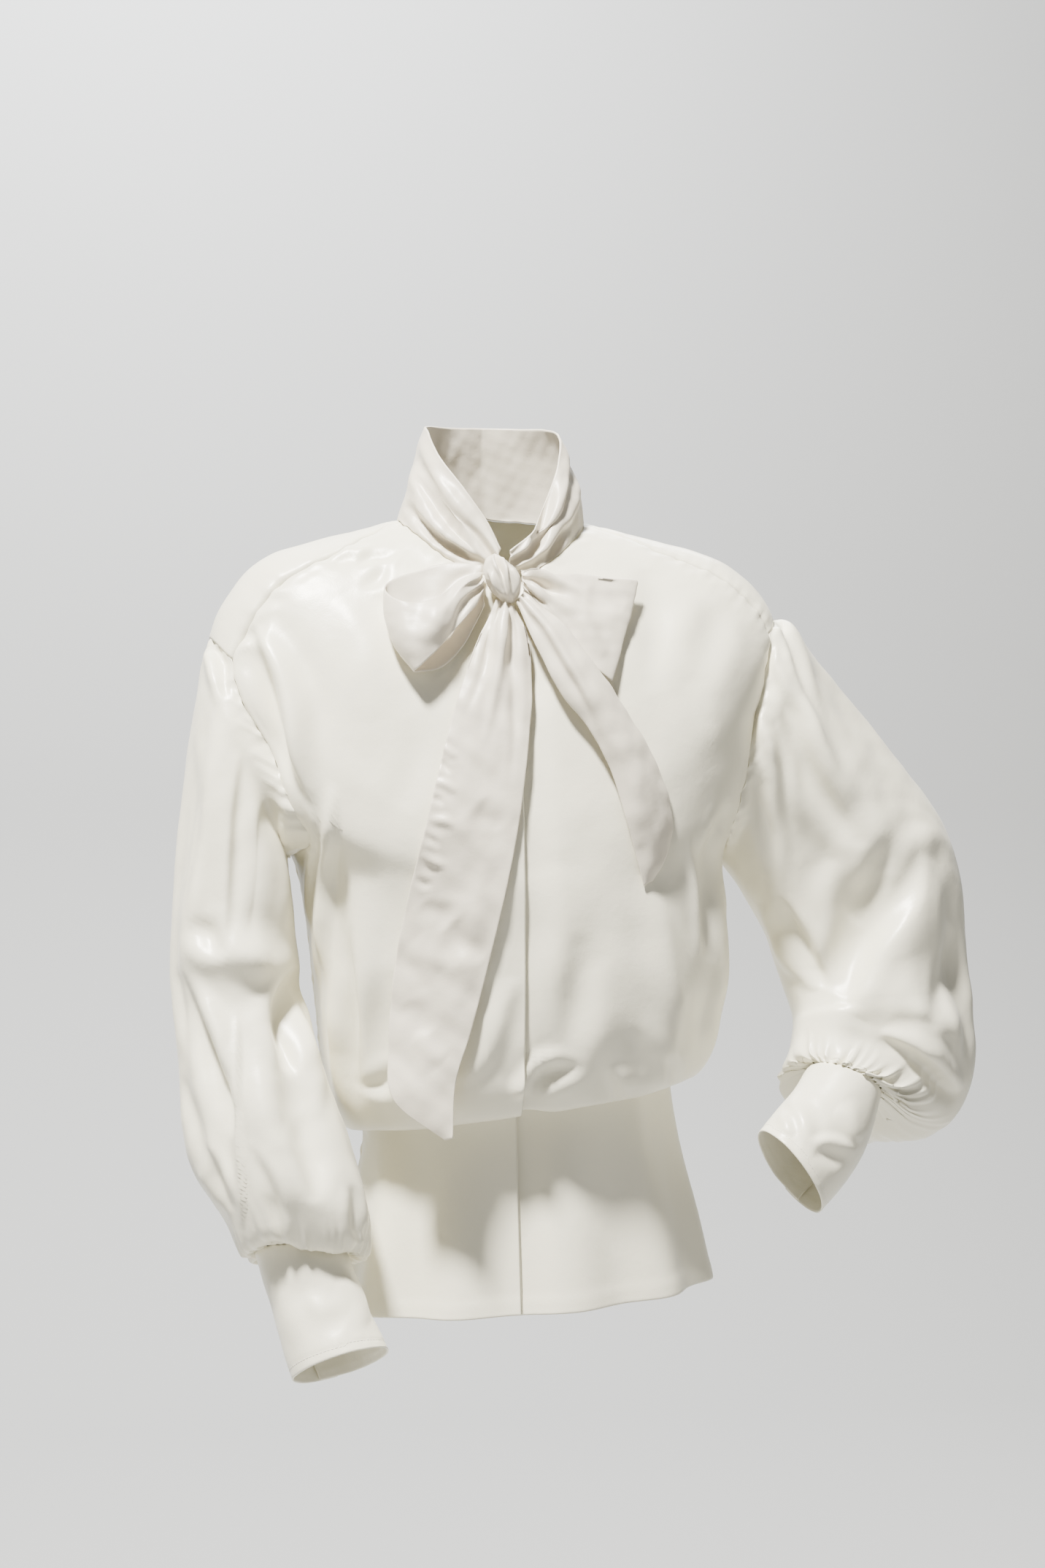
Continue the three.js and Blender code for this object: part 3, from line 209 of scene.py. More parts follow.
# Broad folds. angle: at the top, degrees round from the centre front. lean: degrees for each level.
FOLD_COLUMNS = "angle lean start end width depth"
FOLD_FADE = 1.6
BODY_FOLDS = table(FOLD_COLUMNS, [
    (-46, -2, 5.2, 11, 5, 3.5), (-55, -1.5, 5.6, 11, 5, -5), (-67, -1, 6.2, 11, 5, 3),
    (-38, 2, 1.5, 5.5, 9, -3), (-24, -3, 8.4, 12.4, 6, -4), (13, 3, 8.8, 12.6, 5, -5),
    (30, 2, 7.2, 12.4, 7, 4), (47, 2.5, 7, 12.4, 7, -4), (62, 1.5, 6, 12, 7, 5),
    (76, 1, 6.4, 12.2, 6, -4), (104, 2, 6.2, 12.2, 7, 5), (122, 1, 6.2, 12.4, 7, -5),
    (146, 2, 3.6, 12.2, 8, 4), (168, -1, 7, 12.6, 7, -5), (193, 1, 4, 12.4, 8, 4),
    (214, -2, 6.8, 12.4, 7, -5), (236, -1, 4.6, 12.2, 8, 5), (256, -1.5, 6.3, 12.2, 7, -4),
])
TAIL_PLEATS = 11
TAIL_PLEAT_DEPTH = 4
TAIL_PLEAT_START = 15.2

# Creases as they lie when seen square on, from their top (x, z) to their foot. bow: how far the
# middle swings to the left of that line. steep: over 1 one side falls faster, under -1 the other.
# rooted: 1 where it starts at full depth in a seam.
CREASE_DEPTH = 1.6
CREASE_FADE = 0.8
ROOTED_FADE = 1.3
ROOT_FADE_ABOVE = 0.25
CREASE_WANDER = 0.22
WANDER_TURNS = 6.5
WANDER_SHIFT = 0.3
CREASE_SLIMMEST = 0.6
SWELL_BESIDE = 0.26
SWELL_AT = 2.0
FRONT_CREASES = [
    (-179, -75, -138, -208, 0, 11, 6.5, -2.4, 0),
    (-180, -96, -156, -196, 0, 10, -6, 1, 0),
    (-185, -81, -169, -90, 0, 8, -2, 1, 0),
    (-123, -196, -137, -384, 0, 7, 4.5, 2, 0),
    (-138, -212, -141, -372, 1, 5, 3.4, 2, 0),
    (-101, -262, -119, -388, 0, 18, 2.2, 1, 0),
    (-83, -326, -104, -413, 0, 14, -1.8, 1, 0),
    (0, -330, -37, -405, 4, 10, 2.4, 1.3, 0),
    (-79, -394, -105, -414, 2, 6, -2.6, 1, 0),
    (-73, -26, -104, -35, 0, 4, -1.6, 1, 0),
    (-93, -23, -123, -30, 0, 4, 1.6, 1, 0),
    (-80, -36, -101, -55, 0, 5, -1.5, 1, 0),
    (-52, -383, -83, -414, 0, 10, 1.6, 1, 0),
    (-118, -60, -96, -150, 3, 16, 2.0, 1, 0),
    (-60, -120, -74, -215, -3, 15, -1.6, 1, 0),
    (110, -37, 107, -130, 0, 14, -2, 1, 0),
    (140, -52, 127, -120, 0, 16, 1.6, 1, 0),
    (30, -250, 26, -377, 0, 15, 1.8, 1, 0),
    (48, -300, 38, -390, 0, 13, -1.8, 1, 0),
    (4, -408, 35, -378, 2, 6, 3, 1, 1),
    (8, -413, 45, -391, 2, 6, -3.2, 1, 0),
    (95, -258, 129, -375, 0, 12, 2, 1.4, 0),
    (154, -230, 150, -324, -6, 9, -2.4, 1, 0),
    (131, -235, 141, -318, 0, 5, 2.2, 1.6, 0),
    (79, -370, 108, -408, 0, 9, -1.6, 1, 0),
    (63, -318, 53, -408, 0, 11, 1.5, 1, 0),
    (162, -219, 146, -256, 0, 6, -2.5, 1, 1),
    (176, -70, 150, -150, -3, 14, 2, 1, 0),
    (70, -392, 86, -418, 0, 6, 2.4, 1, 0),
    (112, -388, 124, -412, 0, 5, -2.2, 1, 0),
]
BACK_CREASES = [
    (-150, -70, -118, -230, 6, 12, 3.5, 1.4, 0), (150, -64, 124, -240, -6, 12, 3.2, -1.4, 0),
    (-60, -60, -72, -300, 4, 18, -2.6, 1, 0), (66, -90, 52, -330, -4, 16, -2.6, 1, 0),
    (0, -120, 8, -390, 5, 16, 3, 1, 0), (-112, -250, -96, -410, -3, 9, 4, 1.8, 0),
    (-84, -300, -70, -416, 0, 8, -4, 1, 0), (-40, -280, -30, -414, 2, 9, 3.6, 1.5, 0),
    (30, -300, 44, -414, 0, 8, -3.6, 1, 0), (86, -270, 96, -408, -3, 9, 4, -1.6, 0),
    (118, -240, 124, -384, 2, 8, -3.6, 1, 0), (-20, -14, -90, -34, -6, 12, 1.6, 1, 0),
    (24, -14, 96, -30, 6, 12, 1.6, 1, 0), (-132, -170, -30, -214, 12, 12, 2, 1, 0),
    (136, -180, 40, -226, -12, 12, 2, 1, 0), (60, -384, 74, -420, 0, 6, 3, 1, 0),
    (-60, -392, -46, -424, 0, 6, 3, 1, 0), (-6, -396, 4, -426, 0, 6, -2.6, 1, 0),
]
BODY_CREASES_FADE_IN = 0.35
# Unevenness of the cloth: height, wavelength and, under 1, how far it is drawn out up and down.
BODY_SWELLS = ((0.7, 75, 0.45), (0.22, 26, 0.6))
BODY_SEED = 11
RIPPLE_WAVES = 8


def smooth_step(low, high, value):
    t = np.clip((value - low) / (high - low), 0, 1)
    return t * t * (3 - 2 * t)


def bell(distance, width):
    t = np.clip(np.abs(distance) / (2 * width), 0, 1)
    return (1 - t * t) ** 3


def row_at(rows, at):
    """All columns of a table between its rows, on a smooth curve."""
    places = rows["at"]
    last = len(places) - 1
    here = np.searchsorted(places[1:-1], at, side="left")
    after, before, beyond = here + 1, np.maximum(here - 1, 0), np.minimum(here + 2, last)
    span = places[after] - places[here]
    t = np.clip((at - places[here]) / span, 0, 1)
    found = {}
    for name, values in rows.items():
        slope_here = (values[after] - values[before]) / (places[after] - places[before]) * span
        slope_after = (values[beyond] - values[here]) / (places[beyond] - places[here]) * span
        found[name] = ((2 * t**3 - 3 * t**2 + 1) * values[here]
                       + (t**3 - 2 * t**2 + t) * slope_here
                       + (3 * t**2 - 2 * t**3) * values[after]
                       + (t**3 - t**2) * slope_after)
    return found


def fold_height(folds, angle, level):
    height = np.zeros(np.broadcast(angle, level).shape)
    for turn, lean, start, end, width, depth in zip(*folds.values()):
        off = angle - turn - lean * (level - start)
        off = off - 360 * np.round(off / 360)
        along = np.clip((level - start) / (end - start), 0, 1)
        height = height + depth * np.sin(math.pi * along) ** FOLD_FADE * bell(off, width)
    return height


def crease_height(creases, x, z):
    """Soft ridges and troughs with a little counter-swell beside them, wandering slightly."""
    height = np.zeros(x.shape)
    for x0, z0, x1, z1, bow, width, drawn_depth, steep, rooted in creases:
        depth = CREASE_DEPTH * drawn_depth
        run = math.hypot(x1 - x0, z1 - z0)
        along = ((x - x0) * (x1 - x0) + (z - z0) * (z1 - z0)) / run**2
        t = np.clip(along, 0, 1)
        beside = ((z - z0) * (x1 - x0) - (x - x0) * (z1 - z0)) / run - 4 * bow * t * (1 - t)
        beside = beside + CREASE_WANDER * width * np.sin(WANDER_TURNS * t + WANDER_SHIFT * x0)
        if rooted:
            fade = np.cos(math.pi / 2 * t) ** ROOTED_FADE * (1 - smooth_step(0, ROOT_FADE_ABOVE, -along))
        else:
            fade = np.sin(math.pi * t) ** CREASE_FADE
        spread = width * (CREASE_SLIMMEST + (1 - CREASE_SLIMMEST) * fade)
        narrow = np.where(beside > 0, max(steep, 1), max(-steep, 1))
        u = beside * narrow / spread
        swell = SWELL_BESIDE * np.exp(-((np.abs(u) - SWELL_AT) ** 2))
        height += depth * fade * (np.exp(-u * u) - swell)
    return height


def creases_facing(creases, points, facing, fade_in):
    """Creases where the cloth faces forward, fading in as it turns that way."""
    return smooth_step(0, fade_in, -facing[..., 1]) * crease_height(creases, points[..., 0], points[..., 2])


def ripple(points, wavelength, seed, upright=1.0):
    """Smooth seeded unevenness of about unit height. upright: under 1 draws it out up and down."""
    draw = np.random.default_rng(seed)
    total = np.zeros(points.shape[:-1])
    for _ in range(RIPPLE_WAVES):
        way = draw.normal(size=3)
        way = way / np.linalg.norm(way) * np.array([1, 1, upright])
        length = wavelength * draw.uniform(0.7, 1.4)
        total += np.sin(2 * math.pi * (points @ way) / length + draw.uniform(0, 2 * math.pi))
    return total / math.sqrt(RIPPLE_WAVES)


def unevenness(points, seed, swells):
    return sum(
        height * ripple(points, wavelength, seed + i, upright)
        for i, (height, wavelength, upright) in enumerate(swells)
    )


def body_point(angle, level):
    ring = row_at(BODY_RINGS, level)
    across, forward = np.sin(np.radians(angle)), np.cos(np.radians(angle))
    square_x = np.sign(across) * np.abs(across) ** (2 / ring["round"])
    square_y = np.sign(forward) * np.abs(forward) ** (2 / ring["round"])
    depth = np.where(forward > 0, ring["front"], ring["back"])
    middle_z = np.where(forward > 0, ring["frontZ"], ring["backZ"])
    pleat = np.sin(TAIL_PLEATS * np.radians(angle)) * TAIL_PLEAT_DEPTH
    out = fold_height(BODY_FOLDS, angle, level) + pleat * smooth_step(TAIL_PLEAT_START, HEM_LEVEL, level)
    x = ring["shift"] + (ring["half"] + out) * square_x
    y = -(depth + out) * square_y
    z = ring["side"] * across**2 + middle_z * forward**2 + ring["tilt"] * across
    return np.stack([x, y, z], axis=-1)


def unit(vectors):
    return vectors / np.maximum(np.linalg.norm(vectors, axis=-1, keepdims=True), 1e-9)


def body_normal(angle, level):
    above = np.maximum(level - NORMAL_STEP, NECK_LEVEL)
    below = np.minimum(level + NORMAL_STEP, HEM_LEVEL)
    down = body_point(angle, below) - body_point(angle, above)
    round_ = body_point(angle + NORMAL_TURN, level) - body_point(angle - NORMAL_TURN, level)
    return unit(np.cross(down, round_))


def body_creases(base, facing, level):
    height = creases_facing(FRONT_CREASES, base, facing, BODY_CREASES_FADE_IN)
    height += creases_facing(BACK_CREASES, base, -facing, BODY_CREASES_FADE_IN)
    height += unevenness(base, BODY_SEED, BODY_SWELLS)
    return height * (1 - smooth_step(TUCK_LEVEL, TUCK_LEVEL + 1, level))


def body_surface(angle, level):
    base, facing = body_point(angle, level), body_normal(angle, level)
    return base + facing * body_creases(base, facing, level)[..., None], facing


def angle_beside(x, level):
    ring = row_at(BODY_RINGS, level)
    part = np.clip((x - ring["shift"]) / ring["half"], -1, 1)
    return np.degrees(np.arcsin(np.sign(part) * np.abs(part) ** (ring["round"] / 2)))


def seam_angle(level):
    ring = row_at(BODY_RINGS, level)
    return np.degrees(SEAM_GAP / 2 / np.minimum(ring["half"], ring["front"]))


def even_levels(first, last, *fine_stretches):
    """Levels about CLOTH_STEP apart down the centre front, closer in the stretches named."""
    fine = np.linspace(first, last, RUN_SAMPLES)
    steps = np.linalg.norm(np.diff(body_point(0 * fine, fine), axis=0), axis=1)
    run = np.concatenate([[0], np.cumsum(steps)])
    count = int(run[-1] / CLOTH_STEP)
    levels = np.interp(np.linspace(0, run[-1], count), run, fine)
    extra = [np.linspace(*stretch) for stretch in fine_stretches]
    return np.unique(np.round(np.concatenate([levels, *extra]), 4))


def near_edges(parts, length):
    """Places from 0 to 1 with two extra ones close to each end, for a rounded edge."""
    close = np.array(EDGE_ROWS) / length
    return np.unique(np.concatenate([np.linspace(0, 1, parts + 1), close, 1 - close]))


def from_edge(grid, axis, from_last=False):
    """Distance of each point from the grid's first or last line, across it."""
    steps = np.linalg.norm(np.diff(grid, axis=axis), axis=2)
    run = np.cumsum(steps, axis=axis)
    run = np.insert(run, 0, 0, axis=axis)
    return np.take(run, [-1], axis=axis) - run if from_last else run


def seam_relief(grid, distance, seed):
    """The dip beside a seam, and the small puckers that die out away from it."""
    dip = -SEAM_DIP * np.exp(-((distance / SEAM_DIP_WIDTH) ** 2))
    return dip + PUCKER * np.exp(-distance / PUCKER_REACH) * ripple(grid, PUCKER_LENGTH, seed)


def grid_normals(grid, closed=False):
    if closed:
        wide = np.concatenate([grid[:, -2:], grid, grid[:, :2]], axis=1)
        across = np.gradient(wide, axis=1)[:, 2:-2]
    else:
        across = np.gradient(grid, axis=1)
    return unit(np.cross(np.gradient(grid, axis=0), across))


def turned(facing, sample, way):
    """The normals, turned over if a sample of them points against the way given."""
    return -facing if (sample * way).sum() < 0 else facing


def cloth_shell(name, grid, facing, thickness=CLOTH_THICKNESS, closed=False, keep=None):
    """A thin closed shell whose outer face is the grid of points, in millimetres, with soft edges."""
    rows, columns = grid.shape[:2]
    if keep is None:
        keep = np.ones((rows, columns), bool)
    number = np.full((rows, columns), -1)
    number[keep] = np.arange(keep.sum())
    i, j = np.meshgrid(np.arange(rows - 1), np.arange(columns if closed else columns - 1), indexing="ij")
    beyond = (j + 1) % columns
    corners = np.stack([number[i, j], number[i + 1, j], number[i + 1, beyond], number[i, beyond]], axis=-1)
    corners = corners.reshape(-1, 4)
    corners = corners[(corners >= 0).all(axis=1)]
    outer, out = grid[keep], facing[keep]
    count = len(outer)
    middle = corners[len(corners) // 2]
    turn = np.cross(outer[middle[2]] - outer[middle[0]], outer[middle[3]] - outer[middle[1]])
    if turn @ out[middle[0]] < 0:
        corners = corners[:, ::-1]
    starts = corners.reshape(-1)
    ends = np.roll(corners, -1, axis=1).reshape(-1)
    forward = starts * count + ends
    rim = ~np.isin(forward, ends * count + starts)
    a, b = starts[rim], ends[rim]
    at_edge = np.zeros(count)
    at_edge[a] = 1
    at_edge[b] = 1
    pinch = (EDGE_ROUNDING * thickness * at_edge)[:, None]
    points = np.concatenate([outer - out * pinch, outer - out * (thickness - pinch)])
    rims = np.stack([b, a, a + count, b + count], axis=-1)
    faces = np.concatenate([corners, corners[:, ::-1] + count, rims])
    piece = smooth_object(name, (points * MM).tolist(), faces.tolist())
    piece.data.validate()
    return piece


# Silk crepe: a fine pebbled grain from hard-twisted yarn over a plain weave, with a quiet sheen. Each
# relief is a bump's strength and its height in metres.
TONE_SCALE, TONE_DETAIL = 9, 3
GRAIN_SCALE, GRAIN_DETAIL = 2600, 2
SLUB_SCALE, SLUB_DETAIL = 140, 3
WEAVE_SCALE = 900
SPECKLE = 0.05
ROUGHNESS_SPREAD = 0.05
SHINE = 0.5
SHEEN_ROUGHNESS = 0.4
SLUB_RELIEF = (0.16, 0.0012)
WEAVE_RELIEF = (0.22, 0.00012)
GRAIN_RELIEF = (0.3, 0.00008)


def crepe(name, light, shade, roughness, sheen):
    material, tree, shader = new_material(name)
    add, link = tree.nodes.new, tree.links.new
    place = add("ShaderNodeTexCoord")

    def texture(kind, scale, detail=None):
        made = add(kind)
        made.inputs["Scale"].default_value = scale
        if detail is not None:
            made.inputs["Detail"].default_value = detail
        link(place.outputs["Object"], made.inputs["Vector"])
        return made

    def mix(factor, a, b):
        mixed = add("ShaderNodeMix")
        mixed.data_type = "RGBA"
        for label, value in (("Factor", factor), ("A", a), ("B", b)):
            if isinstance(value, bpy.types.NodeSocket):
                link(value, mixed.inputs[label])
            else:
                mixed.inputs[label].default_value = value
        return mixed

    tone = texture("ShaderNodeTexNoise", TONE_SCALE, TONE_DETAIL)
    grain = texture("ShaderNodeTexNoise", GRAIN_SCALE, GRAIN_DETAIL)
    slub = texture("ShaderNodeTexNoise", SLUB_SCALE, SLUB_DETAIL)
    weave = texture("ShaderNodeTexVoronoi", WEAVE_SCALE)
    colours = mix(tone.outputs["Fac"], (*shade, 1), (*light, 1))
    speckle = mix(SPECKLE, colours.outputs["Result"], grain.outputs["Color"])
    speckle.blend_type = "MULTIPLY"
    link(speckle.outputs["Result"], shader.inputs["Base Color"])
    rough = add("ShaderNodeMapRange")
    rough.inputs["To Min"].default_value = roughness - ROUGHNESS_SPREAD
    rough.inputs["To Max"].default_value = roughness + ROUGHNESS_SPREAD
    link(slub.outputs["Fac"], rough.inputs["Value"])
    link(rough.outputs["Result"], shader.inputs["Roughness"])
    below = None
    for height, (strength, distance) in (
        (slub.outputs["Fac"], SLUB_RELIEF),
        (weave.outputs["Distance"], WEAVE_RELIEF),
        (grain.outputs["Fac"], GRAIN_RELIEF),
    ):
        bump = add("ShaderNodeBump")
        bump.inputs["Strength"].default_value = strength
        bump.inputs["Distance"].default_value = distance
        link(height, bump.inputs["Height"])
        if below:
            link(below.outputs["Normal"], bump.inputs["Normal"])
        below = bump
    link(below.outputs["Normal"], shader.inputs["Normal"])
    shader.inputs["Specular IOR Level"].default_value = SHINE
    shader.inputs["Sheen Weight"].default_value = sheen
    shader.inputs["Sheen Roughness"].default_value = SHEEN_ROUGHNESS
    return material


BODY_CREPE = crepe("ivory_crepe", (0.90, 0.868, 0.72), (0.875, 0.84, 0.69), 0.34, 0.1)


def dress(piece, node, material):
    piece.data.materials.append(material)
    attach(piece, "root")
    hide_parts(node)


# The fronts: two panels of crepe, the right one lapped over the left at the centre, where its edge is
# folded back. They are sewn to the back at the shoulders and sides, and end in a narrow turned hem.
LAP_EDGE = 6.5
LAP_WIDTH = 28
LAP_STEP = 2.1
LAP_BLEND_START = 9
LAP_BLEND_END = 34
CLOSE_TO_NECK = (NECK_LEVEL, 0.03, 3)
AT_SHOULDER = (SHOULDER_LEVEL, SHOULDER_LEVEL, 1)
ROUND_UNDERARM = (5.6, UNDERARM_LEVEL, 16)
CLOSE_TO_HEM = (18.95, HEM_LEVEL, 3)
PANEL_LEVELS = even_levels(NECK_LEVEL, HEM_LEVEL, CLOSE_TO_NECK, AT_SHOULDER, ROUND_UNDERARM, CLOSE_TO_HEM)
HEM_ROWS = from_edge(body_point(0 * PANEL_LEVELS, PANEL_LEVELS)[:, None, :], 0, True)
SOFT_EDGE_LEVELS = (0, 1, 3, 5, 7, 8)
SOFT_FRONT_EDGE = (78, 68, 68, 64, 84, 90)
SOFT_BACK_EDGE = (107, 107, 107, 112, 96, 90)
SOFT_EDGE_POWER = 7
SIDE_ANGLE = 90
HEM_TURN = 12
HEM_TURN_SOFT = 1.2
HEM_RIDGE = 0.5
FRONT_COLUMNS = 74
FRONT_WIDTH = 160
LAP_COLUMNS = 12


def outer_angle(side, level):
    """A front's outer edge: the shoulder seam, then the armhole, then the side seam."""
    shoulder = row_at(SHOULDER_SEAM, np.minimum(level, SHOULDER_LEVEL))[side]
    armhole = row_at(ARMHOLES, np.clip(level, SHOULDER_LEVEL, UNDERARM_LEVEL))[side]
    edge = np.where(level <= SHOULDER_LEVEL, shoulder, armhole)
    return np.where(level >= UNDERARM_LEVEL, SIDE_ANGLE, edge)


def spread_columns(start, soft, edge, part):
    """Columns evenly from start to a soft line, of which only the last ones follow the cut edge."""
    return start + (soft - start) * part + (edge - soft) * part**SOFT_EDGE_POWER


def hem_relief(shape):
    turned_up = smooth_step(HEM_TURN + HEM_TURN_SOFT, HEM_TURN - HEM_TURN_SOFT, HEM_ROWS)
    return HEM_RIDGE * turned_up * np.ones(shape)


def lapped_strip(edge_x, far_x, level):
    """Columns straight down beside the centre, between two places to the side of it."""
    x = edge_x + (far_x - edge_x) * near_edges(LAP_COLUMNS, abs(far_x - edge_x))[None, :]
    return angle_beside(x, level)


def front_panel(name, side, edge_x):
    """A front from its centre edge out to the armhole and side. The left one steps under the lap."""
    sign = -1 if side == "right" else 1
    level = PANEL_LEVELS[:, None]
    strip = lapped_strip(edge_x, edge_x + sign * LAP_WIDTH, level)[:, :-len(EDGE_ROWS)]
    far = sign * (outer_angle(side, level) - seam_angle(level))
    start = angle_beside(edge_x + sign * LAP_WIDTH, level)
    part = near_edges(FRONT_COLUMNS, FRONT_WIDTH)[None, :]
    soft = sign * np.interp(level, SOFT_EDGE_LEVELS, SOFT_FRONT_EDGE)
    angle = np.concatenate([strip, spread_columns(start, soft, far, part)[:, len(EDGE_ROWS) + 1:]], axis=1)
    level = np.broadcast_to(level, angle.shape)
    surface, facing = body_surface(angle, level)
    base = body_point(angle, level)
    inset = np.zeros(angle.shape)
    if side == "left":
        inset = 2 * LAP_STEP * (1 - smooth_step(LAP_BLEND_START, LAP_BLEND_END, base[..., 0]))
    relief = seam_relief(surface, from_edge(surface, 1, True), SEAM_SEED)
    relief += seam_relief(surface, from_edge(surface, 0), SEAM_SEED) + hem_relief(angle.shape)
    return cloth_shell(name, surface + facing * (relief - inset)[..., None], facing)


front_right = front_panel("right_front", "right", LAP_EDGE)
front_left = front_panel("left_front", "left", LAP_EDGE - LAP_WIDTH)
dress(front_right, "front_right", BODY_CREPE)
dress(front_left, "front_left", BODY_CREPE)


# The placket: a narrow strip of the same crepe, folded double behind the right front's edge, where
# its buttonholes stay hidden. It is sewn in under the lap from the neck to the hem.
PLACKET_SHOWS = 0.8

strip_angle = lapped_strip(LAP_EDGE - LAP_WIDTH, LAP_EDGE + PLACKET_SHOWS, PANEL_LEVELS[:, None])
strip_level = np.broadcast_to(PANEL_LEVELS[:, None], strip_angle.shape)
strip_face, strip_facing = body_surface(strip_angle, strip_level)
placket = cloth_shell("buttonhole_placket", strip_face - LAP_STEP * strip_facing, strip_facing)
dress(placket, "placket", BODY_CREPE)


# The back: one wide panel of crepe, carried over the shoulders and sewn to the fronts at seams that
# lie forward of them. It curves in at the armholes and meets the fronts again at the side seams.
BACK_MIDDLE_COLUMNS = 112
CREST_COLUMNS = 16


def back_panel(name):
    """All columns run over the shoulders. Below the armhole tops only the middle ones go on."""
    level = PANEL_LEVELS[:, None]
    gap = seam_angle(level)
    armhole = row_at(ARMHOLES, np.clip(level, SHOULDER_LEVEL, UNDERARM_LEVEL))["back"]
    armhole_top = row_at(ARMHOLES, np.array(SHOULDER_LEVEL))["back"]
    edge = np.where(level < SHOULDER_LEVEL, armhole_top, armhole + gap)
    edge = np.where(level >= UNDERARM_LEVEL, SIDE_ANGLE + gap, edge)
    seam = row_at(SHOULDER_SEAM, np.minimum(level, SHOULDER_LEVEL))
    crest = np.linspace(0, 1, CREST_COLUMNS + 1)[None, :-1]
    over_left = seam["left"] + gap + (edge - seam["left"] - gap) * crest
    over_right = 360 - (seam["right"] + gap + (edge - seam["right"] - gap) * crest[:, ::-1])
    half = np.linspace(0, 1, BACK_MIDDLE_COLUMNS // 2 + 1)[None, :]
    soft = np.where(level < SHOULDER_LEVEL, edge, np.interp(level, SOFT_EDGE_LEVELS, SOFT_BACK_EDGE))
    middle_left = spread_columns(180, soft, edge, half)[:, ::-1]
    middle = np.concatenate([middle_left, 360 - middle_left[:, -2::-1]], axis=1)
    angle = np.concatenate([over_left, middle, over_right], axis=1)
    above = (PANEL_LEVELS <= SHOULDER_LEVEL + LEVEL_TOLERANCE)[:, None]
    middle_only = slice(CREST_COLUMNS, -CREST_COLUMNS)
    keep = np.broadcast_to(above, angle.shape).copy()
    keep[:, middle_only] = True
    surface, facing = body_surface(angle, np.broadcast_to(level, angle.shape))
    to_seam = np.minimum(from_edge(surface, 1), from_edge(surface, 1, True))
    inner = surface[:, middle_only]
    to_armhole = np.full(angle.shape, np.inf)
    to_armhole[:, middle_only] = np.minimum(from_edge(inner, 1), from_edge(inner, 1, True))
    relief = seam_relief(surface, np.where(above, to_seam, to_armhole), SEAM_SEED)
    relief += seam_relief(surface, from_edge(surface, 0), SEAM_SEED) + hem_relief(angle.shape)
    return cloth_shell(name, surface + facing * relief[..., None], facing, keep=keep)


back = back_panel("back_panel")
dress(back, "back", BODY_CREPE)


# The sleeves: full, set in round the armholes and gathered into the cuffs. The right arm hangs and
# the left one is bent forward, so its cloth piles at the elbow and sags over the cuff in a bag.
RING_COLUMNS = "at outX outY outZ inX inY inZ front back lean"
SLEEVE_RIGHT_RINGS = table(RING_COLUMNS, [
    (1, -215, -3, -113, -153, -16, -252, 58, 60, 0),
    (2, -220, -5, -148, -151, -31, -269, 56, 64, 0),
    (3, -226, -8, -190, -149, -40, -287, 54, 66, 0),
    (4, -231, -13, -236, -149, -45, -305, 52, 66, 0),
    (5, -234, -18, -282, -149, -48, -323, 53, 63, 0),
    (6, -236, -25, -325, -150, -48, -341, 53, 60, 0),
    (7, -233, -34, -366, -145, -55, -362, 53, 60, 4),
    (8, -230, -44, -403, -133, -66, -392, 54, 60, 8),
    (9, -228, -56, -438, -121, -77, -426, 55, 60, 12),
    (10, -222, -68, -468, -110, -88, -462, 56, 58, 16),
    (11, -209, -78, -491, -102, -97, -490, 55, 55, 18),
    (12, -196, -84, -506, -101, -101, -509, 49, 48, 20),
    (13, -186, -86, -517, -107, -98, -517, 41, 40, 20),
    (14, -180, -86, -524, -115, -94, -524, 33, 33, 20),
])
SLEEVE_LEFT_RINGS = table(RING_COLUMNS, [
    (1, 232, 3, -74, 179, 3, -256, 60, 54, 0),
    (2, 255, 10, -104, 192, 4, -273, 62, 56, 0),
    (3, 290, 18, -142, 204, 7, -292, 63, 58, 0),
    (4, 323, 26, -180, 214, 8, -308, 64, 58, 0),
    (5, 350, 32, -215, 219, 6, -322, 64, 58, 0),
    (6, 366, 33, -250, 223, 2, -335, 63, 58, 0),
    (7, 371, 29, -292, 227, -5, -347, 62, 58, 2),
    (8, 370, 22, -332, 230, -13, -357, 60, 58, 8),
    (9, 369, 12, -370, 232, -22, -365, 58, 58, 15),
    (10, 367, 2, -407, 232, -31, -370, 56, 62, 24),
    (11, 358, -6, -438, 232, -38, -378, 51, 66, 33),
    (12, 338, -14, -458, 232, -44, -386, 44, 68, 40),
    (13, 309, -28, -451, 233, -49, -394, 37, 53, 34),
    (14, 283, -45, -429, 236, -53, -401, 31, 33, 20),
])
SLEEVE_RIGHT_FOLDS = table(FOLD_COLUMNS, [
    (62, 1, 0.4, 6, 12, 5), (92, 2, 0.6, 5, 12, -5), (124, -1, 0.4, 7, 13, 5),
    (30, 1.5, 1.5, 12.6, 12, -4), (60, 1, 5.4, 12.8, 11, -5), (100, 0, 6.2, 12.9, 13, 5),
    (135, -2, 5.8, 12.4, 12, -5), (156, 1, 8, 12.9, 12, 5), (205, 1, 2, 12, 14, 5),
    (240, -1, 1.5, 12.6, 13, -5), (282, 1, 3, 12.6, 14, 5), (322, -1, 2, 12.2, 13, -4),
])
